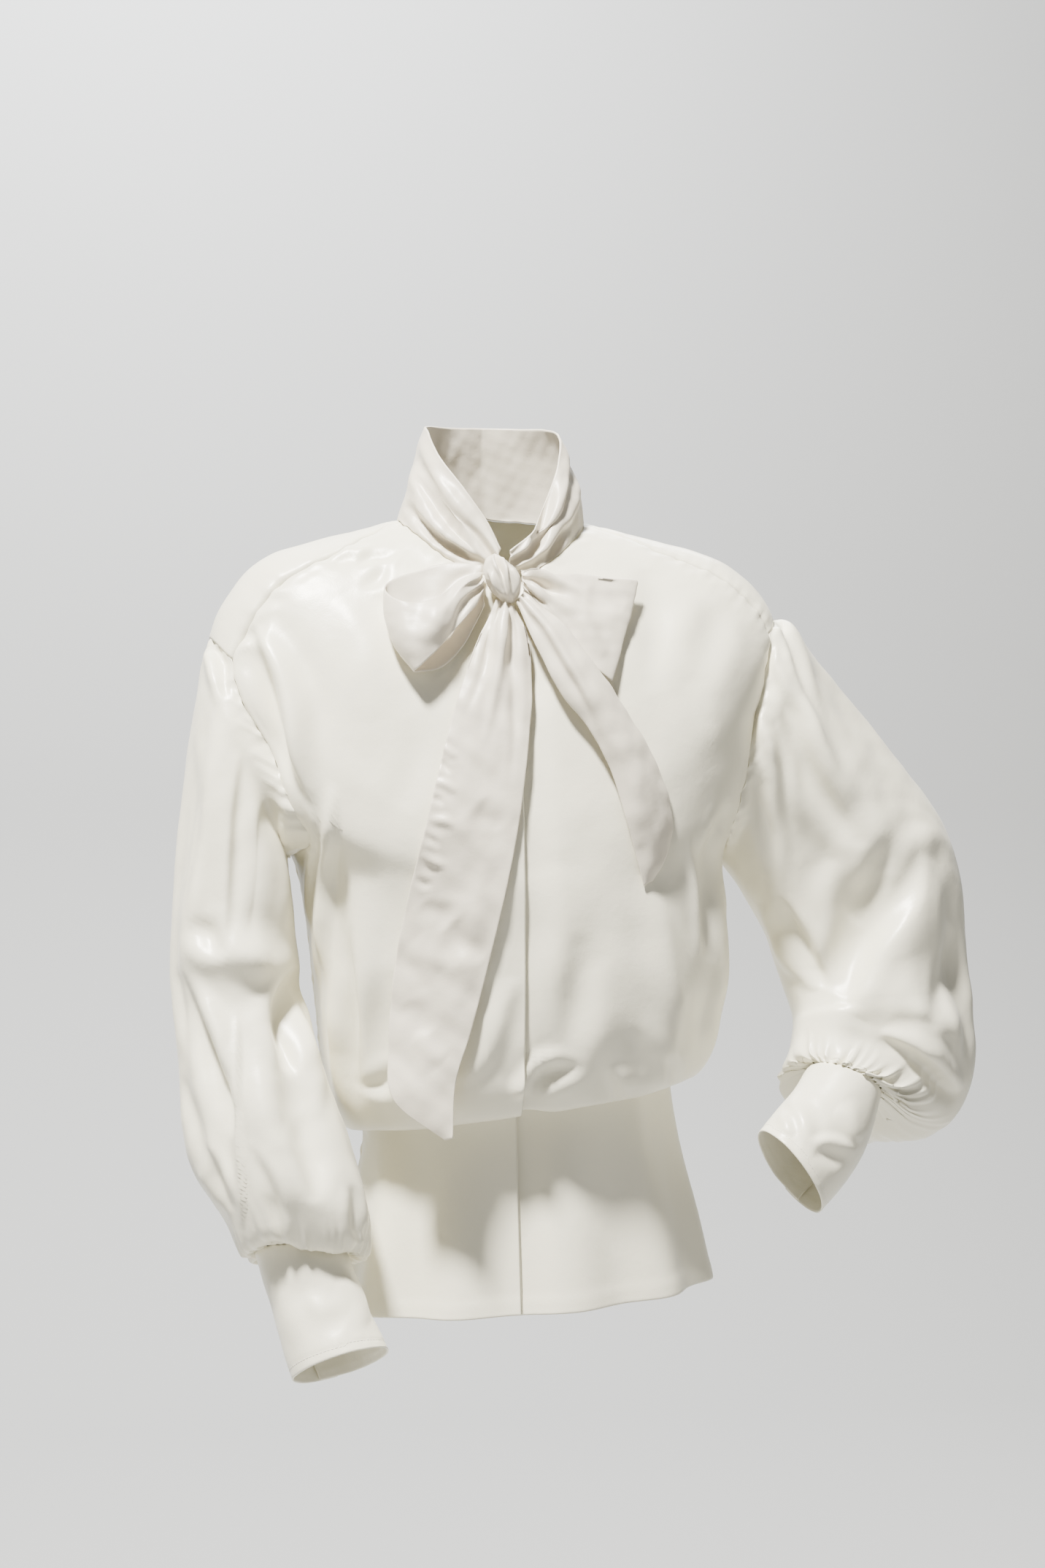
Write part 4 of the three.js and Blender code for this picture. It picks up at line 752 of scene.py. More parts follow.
SLEEVE_LEFT_FOLDS = table(FOLD_COLUMNS, [
    (28, 2, 0.5, 5, 12, -4), (66, 3, 0.5, 6.5, 12, 5), (104, 3, 0.5, 7.4, 12, -6),
    (140, 1, 0.6, 8, 12, 5), (54, -3, 5.6, 11.6, 14, -8), (96, -2, 7.4, 12.8, 14, 7),
    (30, -1, 8, 12.8, 13, 5), (128, 0, 8.4, 12.9, 12, -4), (205, 2, 1, 7, 14, -5),
    (238, 1, 2, 12.6, 14, 5), (280, -1, 2, 12.6, 14, -6), (318, 1, 3, 12.4, 14, 5),
])
SLEEVE_RIGHT_CREASES = [
    (-202, -96, -197, -135, 0, 4, -3.2, 1, 1), (-208, -104, -204, -143, 0, 4, 2.4, 1, 1),
    (-192, -172, -204, -309, 0, 8, 2.6, 2, 0), (-168, -209, -184, -313, -2, 10, -3.4, 1, 0),
    (-159, -177, -152, -287, 0, 7, 2.2, 1, 0), (-226, -305, -152, -324, -5, 14, 5, 1, 0),
    (-223, -290, -197, -314, -3, 8, -3.5, 1, 0), (-233, -328, -197, -438, 3, 6, -5, 1, 0),
    (-223, -334, -192, -417, 2, 8, 2.5, 1, 0), (-193, -355, -190, -501, 0, 4, 2.6, 2.4, 0),
    (-150, -327, -157, -397, -4, 8, -8, 1, 0), (-145, -345, -136, -429, 0, 8, 3, 1, 0),
    (-227, -401, -218, -469, 0, 5, -3, 1, 0), (-216, -446, -198, -490, 0, 4, -2.6, 1, 0),
    (-183, -444, -163, -507, 0, 5, -2.6, 1, 0), (-146, -424, -141, -481, 0, 8, -2.2, 1, 0),
    (-177, -365, -166, -449, 0, 12, 2.4, 1, 0), (-115, -472, -106, -514, 0, 5, -3, 1, 0),
    (-223, -162, -230, -287, 0, 7, -2.5, 1, 0),
]
SLEEVE_LEFT_CREASES = [
    (221, -76, 249, -163, -4, 5, -3.4, 1, 1), (204, -97, 230, -149, -2, 5, 3, 1, 1),
    (205, -108, 271, -242, -7, 11, -4.5, 1.3, 0), (228, -127, 269, -237, -5, 9, 4, 1, 0),
    (346, -226, 268, -290, -23, 17, 4, 1, 0), (338, -224, 270, -300, -22, 13, -4, 1, 0),
    (292, -262, 250, -350, 0, 18, -4.5, 1, 0),
    (326, -248, 262, -366, 6, 22, 6, -2.6, 0), (348, -300, 316, -376, 14, 14, -3.2, 1, 0),
    (282, -378, 354, -426, 5, 9, 5, -1.8, 0), (304, -398, 350, -434, 3, 8, -3, 1, 0),
    (213, -280, 248, -347, 0, 5, -3.8, 1, 0), (205, -286, 238, -351, 0, 6, 2.5, 1, 0),
    (196, -149, 213, -217, 0, 6, 3, 1, 1), (202, -155, 224, -253, 0, 6, -3, 1, 1),
    (193, -198, 211, -280, 0, 6, -2.5, 1, 1), (255, -253, 243, -335, 0, 12, 3, 1, 0),
    (286, -165, 297, -201, 0, 14, -1, 1, 0),
]
SLEEVE_BACK_CREASES = [
    (-214, -120, -190, -300, 4, 9, 4, 1.6, 0), (-190, -130, -168, -250, -3, 8, -4, 1, 0),
    (-226, -330, -160, -350, 6, 11, 5, 1, 0), (-222, -356, -170, -440, 4, 7, -5, 1, 0),
    (-204, -380, -186, -500, 0, 5, 3.4, 1.8, 0), (-150, -360, -140, -490, 0, 8, -4, 1, 0),
    (222, -90, 280, -220, 6, 9, -5, 1, 1), (250, -120, 300, -230, 4, 9, 4, 1.5, 0),
    (346, -240, 270, -300, 14, 12, 6, 1, 0), (344, -262, 280, -330, 10, 12, -7, 1, 0),
    (340, -300, 290, -420, 0, 9, 5, 1.8, 0), (250, -300, 262, -390, 0, 8, -4, 1, 0),
]
ARMHOLE_LEVELS = np.array([3, 3.4, 3.8, 4.2, 4.6, 5, 5.35, 5.65, 5.85, 6])
SET_IN_GAP = 0.08
SLEEVE_COLUMNS = 168
SLEEVE_RINGS_PER_LEVEL = 9
CAP_ROWS = 12
CAP_ROWS_FROM = 0.08
CAP_CLOSE_ROWS = (0, 0.012, 0.035)
CAP_STEP = 0.05
CLOSE_TO_END = (13.93, 13.97)
TUBE_TOP, TUBE_END = 1, 14
FINE_FROM, FINE_LEVELS = 12, 40
SLEEVE_CREASES_FADE_IN = 0.4
SLEEVE_SWELLS = ((0.8, 60, 0.5), (0.25, 22, 0.7))
CUFF_SEAM_DIP = 0.6
OUTWARD_ROW = 40
OUTWARD_LEVEL = 5
SLEEVE_RELIEF_STARTS = 0.3
SLEEVE_RELIEF_LOST_AT_END = 0.75
SEAM_RELIEF_STARTS = 1.4
GATHER_START = 11.6
GATHER_START_WAVES = ((0.5, 3, 1), (0.45, 7, 2), (0.3, 11, 0))
GATHER_FULL = 13.4
GATHER_DEPTH = 1.575
GATHER_GROWTH = 1.4
GATHER_CROWDING = 0.35
GATHER_COUNTS = (31, 23, 41)
BAG_LEVEL = 12.85
BAG_WIDTH = 0.8
BAG_SAG = {"right": 10, "left": 4}
BAG_PUFF = {"right": 2.5, "left": 3}
BAG_END = 13.5
BAG_LEVEL_WAVES = ((0.26, 2, 0.1), (0.2, 5, 1), (0.1, 9, 0))
BAG_SAG_WAVE = 0.25


def tube_point(rings, angle, level, out=0.0):
    ring = row_at(rings, level)
    outer = np.stack([ring["outX"], ring["outY"], ring["outZ"]], axis=-1)
    inner = np.stack([ring["inX"], ring["inY"], ring["inZ"]], axis=-1)
    half = np.linalg.norm(outer - inner, axis=-1) / 2
    across = unit(outer - inner)
    lean = np.radians(ring["lean"])
    front = np.stack([0 * lean, -np.cos(lean), np.sin(lean)], axis=-1)
    front = unit(front - across * (front * across).sum(-1, keepdims=True))
    side, ahead = np.cos(np.radians(angle)), np.sin(np.radians(angle))
    depth = np.where(ahead > 0, ring["front"], ring["back"])
    return ((outer + inner) / 2 + across * ((half + out) * side)[..., None]
            + front * ((depth + out) * ahead)[..., None])


def armhole_edge(side, around):
    """The armhole's edge on the body at places round it, 0 to 1, and the way a sleeve leaves it."""
    sign = -1 if side == "right" else 1
    seam = float(row_at(SHOULDER_SEAM, np.array(SHOULDER_LEVEL))[side])
    crest = float(row_at(ARMHOLES, np.array(SHOULDER_LEVEL))["back"])
    count = 2 * len(ARMHOLE_LEVELS) + 2
    place = around * count
    front_places = np.arange(2, 2 + len(ARMHOLE_LEVELS))
    back_places = np.arange(1 + len(ARMHOLE_LEVELS), 1 + 2 * len(ARMHOLE_LEVELS))
    level = np.interp(
        place,
        np.concatenate([[0], front_places, back_places[1:], [count]]),
        np.concatenate([[SHOULDER_LEVEL], ARMHOLE_LEVELS, ARMHOLE_LEVELS[::-1][1:], [SHOULDER_LEVEL]]),
    )
    ahead = row_at(ARMHOLES, level)[side]
    behind = row_at(ARMHOLES, level)["back"]
    over_front = np.interp(place, [0, front_places[0]], [SIDE_ANGLE, seam])
    over_back = np.interp(place, [back_places[-1], count], [crest, SIDE_ANGLE])
    angle = np.where(place < front_places[0], over_front, np.where(place <= front_places[-1], ahead, behind))
    angle = np.where(place > back_places[-1], over_back, angle)
    point, facing = body_surface(sign * angle, level)
    point = point + facing * seam_relief(point, 0.0, SEAM_SEED)[:, None]
    along = np.roll(point, -1, axis=0) - np.roll(point, 1, axis=0)
    away = unit(np.cross(facing, along) * sign)
    return point, away


def waves_round(turn, waves):
    """Waves round a tube, each given by its height, how many there are and where it starts."""
    return sum(height * np.sin(count * turn + start) for height, count, start in waves)


def uneven_gathers(angle, level):
    """Gathers above a cuff, some long and some short."""
    turn = np.radians(angle)
    start = GATHER_START + waves_round(turn, GATHER_START_WAVES)
    wave = sum(
        np.sin(count * turn + 0.6 * k + 0.8 * np.sin(2 * turn + k))
        for k, count in enumerate(GATHER_COUNTS)
    )
    grow = np.clip((level - start) / (GATHER_FULL - start), 0, 1) ** GATHER_GROWTH
    crowded = 1 - GATHER_CROWDING * smooth_step(GATHER_FULL, TUBE_END, level)
    return GATHER_DEPTH * wave * grow * crowded


def sleeve_cap(side, rings, folds, angle, rise):
    """Rows from the armhole's seam out to the sleeve's first ring, leaving the seam sharply."""
    first_at, next_at = float(TUBE_TOP), TUBE_TOP + CAP_STEP
    edge, away = armhole_edge(side, angle / 360)
    first = tube_point(rings, angle, np.full(angle.shape, first_at), fold_height(folds, angle, first_at))
    second = tube_point(rings, angle, np.full(angle.shape, next_at), fold_height(folds, angle, next_at))
    edge = edge + unit(unit(first - edge) + away) * SET_IN_GAP
    return ((2 * rise**3 - 3 * rise**2 + 1) * edge + (rise**3 - 2 * rise**2 + rise) * (first - edge)
            + (3 * rise**2 - 2 * rise**3) * first + (rise**3 - rise**2) * ((second - first) / CAP_STEP))


def bagging_tube(side, rings, folds, angle, level, seed):
    """The sleeve below its cap, gathered at the end and sagging over the cuff."""
    turn = np.radians(angle)
    uneven = waves_round(turn, [(height, count, share * seed) for height, count, share in BAG_LEVEL_WAVES])
    bag = bell(level - BAG_LEVEL - uneven, BAG_WIDTH)
    out = fold_height(folds, angle, level) + uneven_gathers(angle, level) + BAG_PUFF[side] * bag
    tube = tube_point(rings, angle, level, out)
    sag = BAG_SAG[side] * bag * (1 + BAG_SAG_WAVE * np.sin(4 * turn + seed))
    tube[..., 2] -= sag * (1 - smooth_step(BAG_END, TUBE_END, level))
    return tube


def sleeve(name, side, rings, folds, creases, seed):
    angle = 360 * (np.arange(SLEEVE_COLUMNS) / SLEEVE_COLUMNS)
    rise = np.array([*CAP_CLOSE_ROWS, *np.linspace(CAP_ROWS_FROM, 1, CAP_ROWS)])[:, None, None]
    levels = np.linspace(TUBE_TOP, TUBE_END, (TUBE_END - TUBE_TOP) * SLEEVE_RINGS_PER_LEVEL + 1)[1:]
    levels = np.unique(np.concatenate([levels, np.linspace(FINE_FROM, TUBE_END, FINE_LEVELS), CLOSE_TO_END]))
    down, round_ = np.meshgrid(levels, angle, indexing="ij")
    cap = sleeve_cap(side, rings, folds, angle, rise)
    grid = np.concatenate([cap, bagging_tube(side, rings, folds, round_, down, seed)])
    level = np.concatenate([rise[:, 0, 0], levels])[:, None]
    outward_at = np.full(angle.shape, float(OUTWARD_LEVEL))
    outward = tube_point(rings, angle, outward_at, 1.0) - tube_point(rings, angle, outward_at)
    facing = grid_normals(grid, closed=True)
    facing = turned(facing, facing[len(rise) + OUTWARD_ROW], outward)
    height = creases_facing(creases, grid, facing, SLEEVE_CREASES_FADE_IN)
    height += creases_facing(SLEEVE_BACK_CREASES, grid, -facing, SLEEVE_CREASES_FADE_IN)
    height += unevenness(grid, seed, SLEEVE_SWELLS)
    height *= smooth_step(0, SLEEVE_RELIEF_STARTS, level)
    height *= 1 - SLEEVE_RELIEF_LOST_AT_END * smooth_step(TUBE_END - 1, TUBE_END, level)
    from_seam = from_edge(grid, 0)
    height += seam_relief(grid, from_seam, SEAM_SEED) * smooth_step(0, SEAM_RELIEF_STARTS, from_seam)
    height -= CUFF_SEAM_DIP * np.exp(-((from_edge(grid, 0, True) / SEAM_DIP_WIDTH) ** 2))
    return cloth_shell(name, grid + facing * height[..., None], facing, closed=True)


sleeve_right = sleeve("right_sleeve", "right", SLEEVE_RIGHT_RINGS, SLEEVE_RIGHT_FOLDS,
                      SLEEVE_RIGHT_CREASES, 31)
sleeve_left = sleeve("left_sleeve", "left", SLEEVE_LEFT_RINGS, SLEEVE_LEFT_FOLDS,
                     SLEEVE_LEFT_CREASES, 41)
dress(sleeve_right, "sleeve_right", BODY_CREPE)
dress(sleeve_left, "sleeve_left", BODY_CREPE)


# The cuffs: deep bands of the same crepe, folded double and wrapped once round, with lapped ends. The
# sleeves are gathered into them, and a row of ivory topstitching runs six millimetres inside the rim.
CUFF_RIGHT_RINGS = table(RING_COLUMNS, [
    (0, -180, -86.2, -524.5, -115, -94.2, -524.5, 33, 33, 20),
    (1, -172, -97, -550, -108, -106, -546, 32, 32, 22),
    (2, -164, -108, -578, -98, -118, -569, 33, 33, 24),
    (3, -155, -120, -608, -90, -130, -585, 34, 34, 26),
])
CUFF_LEFT_RINGS = table(RING_COLUMNS, [
    (0, 282.6, -45.4, -429.6, 235.6, -53.4, -401.6, 31, 33, 20),
    (1, 273, -57, -454, 220, -65, -418, 31, 32, 20),
    (2, 258, -68, -479, 204, -76, -431, 31, 32, 22),
    (3, 228, -80, -508, 188, -87, -446, 30, 31, 22),
])
CUFF_THICKNESS = 1.3
CUFF_SWEEP = 384
CUFF_LAP_BLEND = 20
CUFF_LAP_START = {"right": 285, "left": 300}
CUFF_LENGTH = 84
CUFF_TUCK = 1.6
CUFF_UNDER = 1.3
CUFF_UNDER_WIDTH = 1.8
CUFF_ROUND = 210
CUFF_COLUMNS = 150
CUFF_ROWS = 44
CUFF_LAST_RING = 3
CUFF_SWELLS = ((0.35, 30, 1.0),)
CUFF_RELIEF_STARTS = 0.25
CUFF_CREASES = [
    (212, -419, 217, -454, -2, 6, 1.8, 1, 0), (215, -451, 256, -459, 1, 6, 1.7, 1.8, 0),
    (219, -459, 246, -466, 0, 6, -1.4, 1, 0), (197, -432, 206, -447, 0, 5, 1.8, 1, 0),
    (-165, -532, -120, -564, 0, 12, -1.4, 1, 0), (-120, -534, -102, -565, 0, 8, 1.6, 1, 0),
    (-150, -548, -118, -556, 0, 8, 1.4, 1, 0), (240, -430, 262, -452, 0, 8, 1.6, 1, 0),
]
STITCH_INSET = 6
STITCH_GROOVE = 0.35
STITCH_GROOVE_WIDTH = 0.9
STITCH_PUCKER = 0.12
STITCH_PUCKER_LENGTH = 7
STITCH_PUCKER_REACH = 5
STITCH_LIFT = 0.12
STITCH_ENDS_FREE = 3
STITCH_SIZES_M = {"Pitch": 0.0028, "Stitch length": 0.0021, "Thread radius": 0.00022}
STITCH_SEGMENTS = 6
STITCH_RINGS = 5
THREAD_LIGHT = (0.90, 0.88, 0.83, 1)
THREAD_SHADE = (0.80, 0.77, 0.70, 1)
THREAD_TWIST_SCALE = 1800
THREAD_ROUGHNESS = 0.45


def cuff_surface(side, rings, turn, level):
    under = LAP_STEP * smooth_step(360 - CUFF_LAP_BLEND, 360, turn)
    angle = CUFF_LAP_START[side] + turn
    plain = tube_point(rings, angle, level)
    outward = unit(tube_point(rings, angle, level, 1.0) - plain)
    return tube_point(rings, angle, level, -under), outward


def cuff(name, side, rings, seed):
    turn = CUFF_SWEEP * near_edges(CUFF_COLUMNS, CUFF_ROUND)
    level = CUFF_LAST_RING * near_edges(CUFF_ROWS, CUFF_LENGTH)
    down, round_ = np.meshgrid(level, turn, indexing="ij")
    grid, facing = cuff_surface(side, rings, round_, down)
    height = creases_facing(CUFF_CREASES, grid, facing, SLEEVE_CREASES_FADE_IN)
    height += unevenness(grid, seed, CUFF_SWELLS)
    height *= smooth_step(0, CUFF_RELIEF_STARTS, down)
    tuck = CUFF_TUCK * (1 - smooth_step(0, 4 * CUFF_TUCK, from_edge(grid, 0)))
    grid = grid + unit(grid[:1] - grid[1:2]) * tuck[..., None]
    rim = from_edge(grid, 0, True)
    height -= STITCH_GROOVE * np.exp(-(((rim - STITCH_INSET) / STITCH_GROOVE_WIDTH) ** 2))
    pucker = STITCH_PUCKER * ripple(grid, STITCH_PUCKER_LENGTH, seed + 1)
    height += pucker * bell(rim - STITCH_INSET, STITCH_PUCKER_REACH)
    height -= CUFF_UNDER * np.exp(-((from_edge(grid, 0) / CUFF_UNDER_WIDTH) ** 2))
    piece = cloth_shell(name, grid + facing * height[..., None], facing, CUFF_THICKNESS)
    return piece, grid, facing, height, rim


def thread_material():
    material, tree, shader = new_material("ivory_thread")
    place = tree.nodes.new("ShaderNodeTexCoord")
    twist = tree.nodes.new("ShaderNodeTexNoise")
    twist.inputs["Scale"].default_value = THREAD_TWIST_SCALE
    colours = tree.nodes.new("ShaderNodeMix")
    colours.data_type = "RGBA"
    colours.inputs["A"].default_value = THREAD_SHADE
    colours.inputs["B"].default_value = THREAD_LIGHT
    tree.links.new(place.outputs["Object"], twist.inputs["Vector"])
    tree.links.new(twist.outputs["Fac"], colours.inputs["Factor"])
    tree.links.new(colours.outputs["Result"], shader.inputs["Base Color"])
    shader.inputs["Roughness"].default_value = THREAD_ROUGHNESS
    return material


def stitch_tree(material):
    """Evenly spaced stitches along a line, each a small capsule laid along it."""
    tree = bpy.data.node_groups.new("stitch_row", "GeometryNodeTree")
    face = tree.interface
    face.new_socket("Line", in_out="INPUT", socket_type="NodeSocketGeometry")
    for label in STITCH_SIZES_M:
        face.new_socket(label, in_out="INPUT", socket_type="NodeSocketFloat")
    face.new_socket("Stitches", in_out="OUTPUT", socket_type="NodeSocketGeometry")
    add, link = tree.nodes.new, tree.links.new
    given, result = add("NodeGroupInput"), add("NodeGroupOutput")
    to_curve, to_points = add("GeometryNodeMeshToCurve"), add("GeometryNodeCurveToPoints")
    to_points.mode = "LENGTH"
    capsule = add("GeometryNodeMeshUVSphere")
    capsule.inputs["Segments"].default_value = STITCH_SEGMENTS
    capsule.inputs["Rings"].default_value = STITCH_RINGS
    capsule.inputs["Radius"].default_value = 1
    half, size = add("ShaderNodeMath"), add("ShaderNodeCombineXYZ")
    half.operation = "MULTIPLY"
    half.inputs[1].default_value = 0.5
    stretch = add("GeometryNodeTransform")
    place, realize = add("GeometryNodeInstanceOnPoints"), add("GeometryNodeRealizeInstances")
    paint = add("GeometryNodeSetMaterial")
    paint.inputs["Material"].default_value = material
    link(given.outputs["Line"], to_curve.inputs["Mesh"])
    link(to_curve.outputs["Curve"], to_points.inputs["Curve"])
    link(given.outputs["Pitch"], to_points.inputs["Length"])
    link(given.outputs["Stitch length"], half.inputs[0])
    link(given.outputs["Thread radius"], size.inputs["X"])
    link(given.outputs["Thread radius"], size.inputs["Y"])
    link(half.outputs[0], size.inputs["Z"])
    link(capsule.outputs["Mesh"], stretch.inputs["Geometry"])
    link(size.outputs["Vector"], stretch.inputs["Scale"])
    link(to_points.outputs["Points"], place.inputs["Points"])
    link(stretch.outputs["Geometry"], place.inputs["Instance"])
    link(to_points.outputs["Rotation"], place.inputs["Rotation"])
    link(place.outputs["Instances"], realize.inputs["Geometry"])
    link(realize.outputs["Geometry"], paint.inputs["Geometry"])
    link(paint.outputs["Geometry"], result.inputs["Stitches"])
    return tree


STITCHES = stitch_tree(thread_material())


def stitch_row(name, line):
    mesh = bpy.data.meshes.new(name + "_line")
    mesh.from_pydata((line * MM).tolist(), [(i, i + 1) for i in range(len(line) - 1)], [])
    row = add_object(name, mesh)
    modifier = row.modifiers.new("stitches", "NODES")
    modifier.node_group = STITCHES
    for item in STITCHES.interface.items_tree:
        if item.in_out == "INPUT" and item.name in STITCH_SIZES_M:
            modifier[item.identifier] = STITCH_SIZES_M[item.name]
    bpy.context.view_layer.update()
    evaluated = row.evaluated_get(bpy.context.evaluated_depsgraph_get())
    plain = bpy.data.meshes.new_from_object(evaluated)
    row.modifiers.clear()
    row.data = plain
    plain.name = name
    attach(row, "root")


def build_cuff(side, rings, seed):
    piece, grid, facing, height, rim = cuff(side + "_cuff", side, rings, seed)
    dress(piece, "cuff_" + side, BODY_CREPE)
    nearest = np.abs(rim - STITCH_INSET).argmin(axis=0)
    columns = np.arange(STITCH_ENDS_FREE, grid.shape[1] - STITCH_ENDS_FREE)
    chosen = nearest[columns], columns
    lift = (height[chosen] + STITCH_LIFT)[:, None]
    stitch_row(side + "_cuff_stitching", grid[chosen] + facing[chosen] * lift)


build_cuff("right", CUFF_RIGHT_RINGS, 51)
build_cuff("left", CUFF_LEFT_RINGS, 61)


# The band: a soft doubled strip of crepe on the bias, sewn to the neckline and standing round the
# neck. Its front ends fold down and narrow toward the knot.
BAND_TOP = table("at rightX rightY rightZ leftX leftY leftZ", [
    (5, -3, -68, -26, 5, -68, -27), (16, -12, -60, -4, 17, -60, -17), (34, -27, -50, 20, 31, -49, 2),
    (56, -42, -33, 44, 44, -33, 34), (82, -49, -10, 66, 51, -12, 62), (115, -46, 20, 74, 46, 18, 73),
    (150, -26, 40, 76, 26, 39, 76), (180, 0, 47, 77, 0, 47, 77),
])
BAND_END = 5
BAND_LENGTH, BAND_COLUMNS = 420, 190
BAND_HEIGHT, BAND_ROWS = 80, 36
BAND_GAP = 0.1
BAND_THICKNESS = 1.6
BAND_FOLDS = ((0.3, 0.25, 2.6), (0.52, 0.2, -2.4), (0.74, 0.12, 2.2))
BAND_FOLD_WIDTH = 0.1
BAND_FOLD_END = 120
BAND_BULGE_LEFT = 4
BAND_BULGE_GROWS = (20, 60)
BAND_BULGE_FADES = (120, 176)
BAND_CREASES_FADE_IN = 0.4
BAND_SEED = 71
BAND_SWELLS = ((0.5, 34, 1.0), (0.15, 12, 1.0))
BAND_RELIEF_STARTS = 2
BAND_CREASES = [
    (-66, 12, -10, -38, -7, 3, -2.6, 1, 0), (-59, 34, -12, -37, -4, 3, -2.4, 1, 0),
    (-62, 20, -10, -38, -6, 3, 2.2, 1, 0), (-52, 34, -10, -34, 0, 5, 2, 1, 0),
    (-41, -16, -25, -32, 0, 2.5, -1.4, 1, 0), (45, 40, 17, -35, 2, 3.4, -2.6, 1, 0),
    (51, -3, 34, -35, 0, 3, -2.4, 1, 0), (35, 35, 15, -31, 2, 4, 2, 1, 0),
    (55, 31, 31, -28, 1, 6, 2, 1, 0),
]
# The tie's crepe is the body's same crepe painted darker and warmer: painted shade on the band, knot, loops
# and tails.
TIE_CREPE_PAINTED_SHADE = crepe("tie_crepe_painted_shade", (0.745, 0.69, 0.585), (0.715, 0.66, 0.555), 0.38, 0.12)


def neck_band(name):
    part = near_edges(BAND_COLUMNS, BAND_LENGTH)
    up = near_edges(BAND_ROWS, BAND_HEIGHT)[:, None]
    angle = (BAND_END + (360 - 2 * BAND_END) * part)[None, :]
    is_left = angle <= 180
    turn = np.where(is_left, angle, 360 - angle)
    top = row_at(BAND_TOP, turn)
    high = np.stack(
        [np.where(is_left, top["left" + axis], top["right" + axis]) for axis in "XYZ"],
        axis=-1,
    )
    low, low_facing = body_surface(angle, 0.0 * angle)
    low = low + low_facing * seam_relief(low, 0.0, SEAM_SEED)[..., None] + np.array([0, 0, BAND_GAP])
    grid = low + (high - low) * up[..., None]
    outward = unit(grid * np.array([1, 1, 0]))
    bulging = smooth_step(*BAND_BULGE_GROWS, turn) * (1 - smooth_step(*BAND_BULGE_FADES, turn))
    out = np.where(is_left, BAND_BULGE_LEFT, 0) * np.sin(math.pi * up) * bulging
    fade = 1 - smooth_step(BAND_FOLD_END / 2, BAND_FOLD_END, turn)
    for line, rise, depth in BAND_FOLDS:
        out = out + depth * fade * bell(up - line - rise * turn / BAND_FOLD_END, BAND_FOLD_WIDTH)
    grid = grid + outward * out[..., None]
    facing = grid_normals(grid)
    facing = turned(facing, facing, outward)
    height = creases_facing(BAND_CREASES, grid, facing, BAND_CREASES_FADE_IN)
    height += unevenness(grid, BAND_SEED, BAND_SWELLS)
    height *= smooth_step(0, BAND_RELIEF_STARTS, from_edge(grid, 0))
    return cloth_shell(name, grid + facing * height[..., None], facing, BAND_THICKNESS)


band = neck_band("standing_band")
dress(band, "neck_band", TIE_CREPE_PAINTED_SHADE)


# The knot: the band's long ends, tied once at the centre front. Two soft wraps of the strip are drawn
# tight between the loops, with folds that run round them.
KNOT_SECTIONS = table("at x y z half deep", [
    (0, -8, -76, -32, 4, 5), (1, -7, -77, -36, 8.5, 10), (2, -4, -79, -43, 12, 13.5),
    (3, -2, -80, -51, 12.5, 13.5), (4, 0, -81, -59, 9.5, 11), (5, 2, -82, -65, 4, 5),
])
KNOT_CREASES = [
    (-7, -36, -1, -64, 0, 1.6, -4.2, 1, 1), (-14, -42, -5, -60, -1, 1.5, 1.6, 1, 0),
    (-11, -40, -4, -60, 0, 1.2, -1.5, 1, 0), (3, -40, 6, -60, 1, 1.5, 1.5, 1, 0),
    (0, -38, 3, -60, 0, 1.2, -1.3, 1, 0), (-15, -50, -6, -64, 0, 1.2, -1.1, 1, 0),
]
KNOT_CREASES_FADE_IN = 0.5
KNOT_SEED = 81
KNOT_SWELLS = ((0.3, 9, 1.0),)
KNOT_ROWS = 46
KNOT_COLUMNS = 84
KNOT_CLOSING = 2.4
FORWARD = np.array([0, -1, 0])


def knot(name):
    place = np.linspace(0, KNOT_SECTIONS["at"][-1], KNOT_ROWS)[:, None]
    angle = np.radians(np.arange(KNOT_COLUMNS) * 360 / KNOT_COLUMNS)[None, :]
    section = row_at(KNOT_SECTIONS, place)
    grid = np.stack(np.broadcast_arrays(
        section["x"] - section["half"] * np.cos(angle),
        section["y"] - section["deep"] * np.sin(angle),
        section["z"] + 0 * angle,
    ), axis=-1)
    facing = grid_normals(grid, closed=True)
    facing = turned(facing, facing[KNOT_ROWS // 2, KNOT_COLUMNS // 4], FORWARD)
    height = creases_facing(KNOT_CREASES, grid, facing, KNOT_CREASES_FADE_IN)
    grid = grid + facing * (height + unevenness(grid, KNOT_SEED, KNOT_SWELLS))[..., None]
    tip = grid[:1].mean(axis=1) + [0, 0, KNOT_CLOSING]
    foot = grid[-1:].mean(axis=1) - [0, 0, KNOT_CLOSING]
    points = np.concatenate([tip, grid.reshape(-1, 3), foot])
    last_row = 1 + (KNOT_ROWS - 1) * KNOT_COLUMNS
    faces = []
    for j in range(KNOT_COLUMNS):
        beyond = (j + 1) % KNOT_COLUMNS
        faces.append((0, 1 + j, 1 + beyond))
        faces.append((len(points) - 1, last_row + beyond, last_row + j))
        for start in range(1, last_row, KNOT_COLUMNS):
            a, b = start + j, start + beyond
            faces.append((a, a + KNOT_COLUMNS, b + KNOT_COLUMNS, b))
    return smooth_object(name, (points * MM).tolist(), faces)


bow_knot = knot("knot_wraps")
dress(bow_knot, "bow_knot", TIE_CREPE_PAINTED_SHADE)


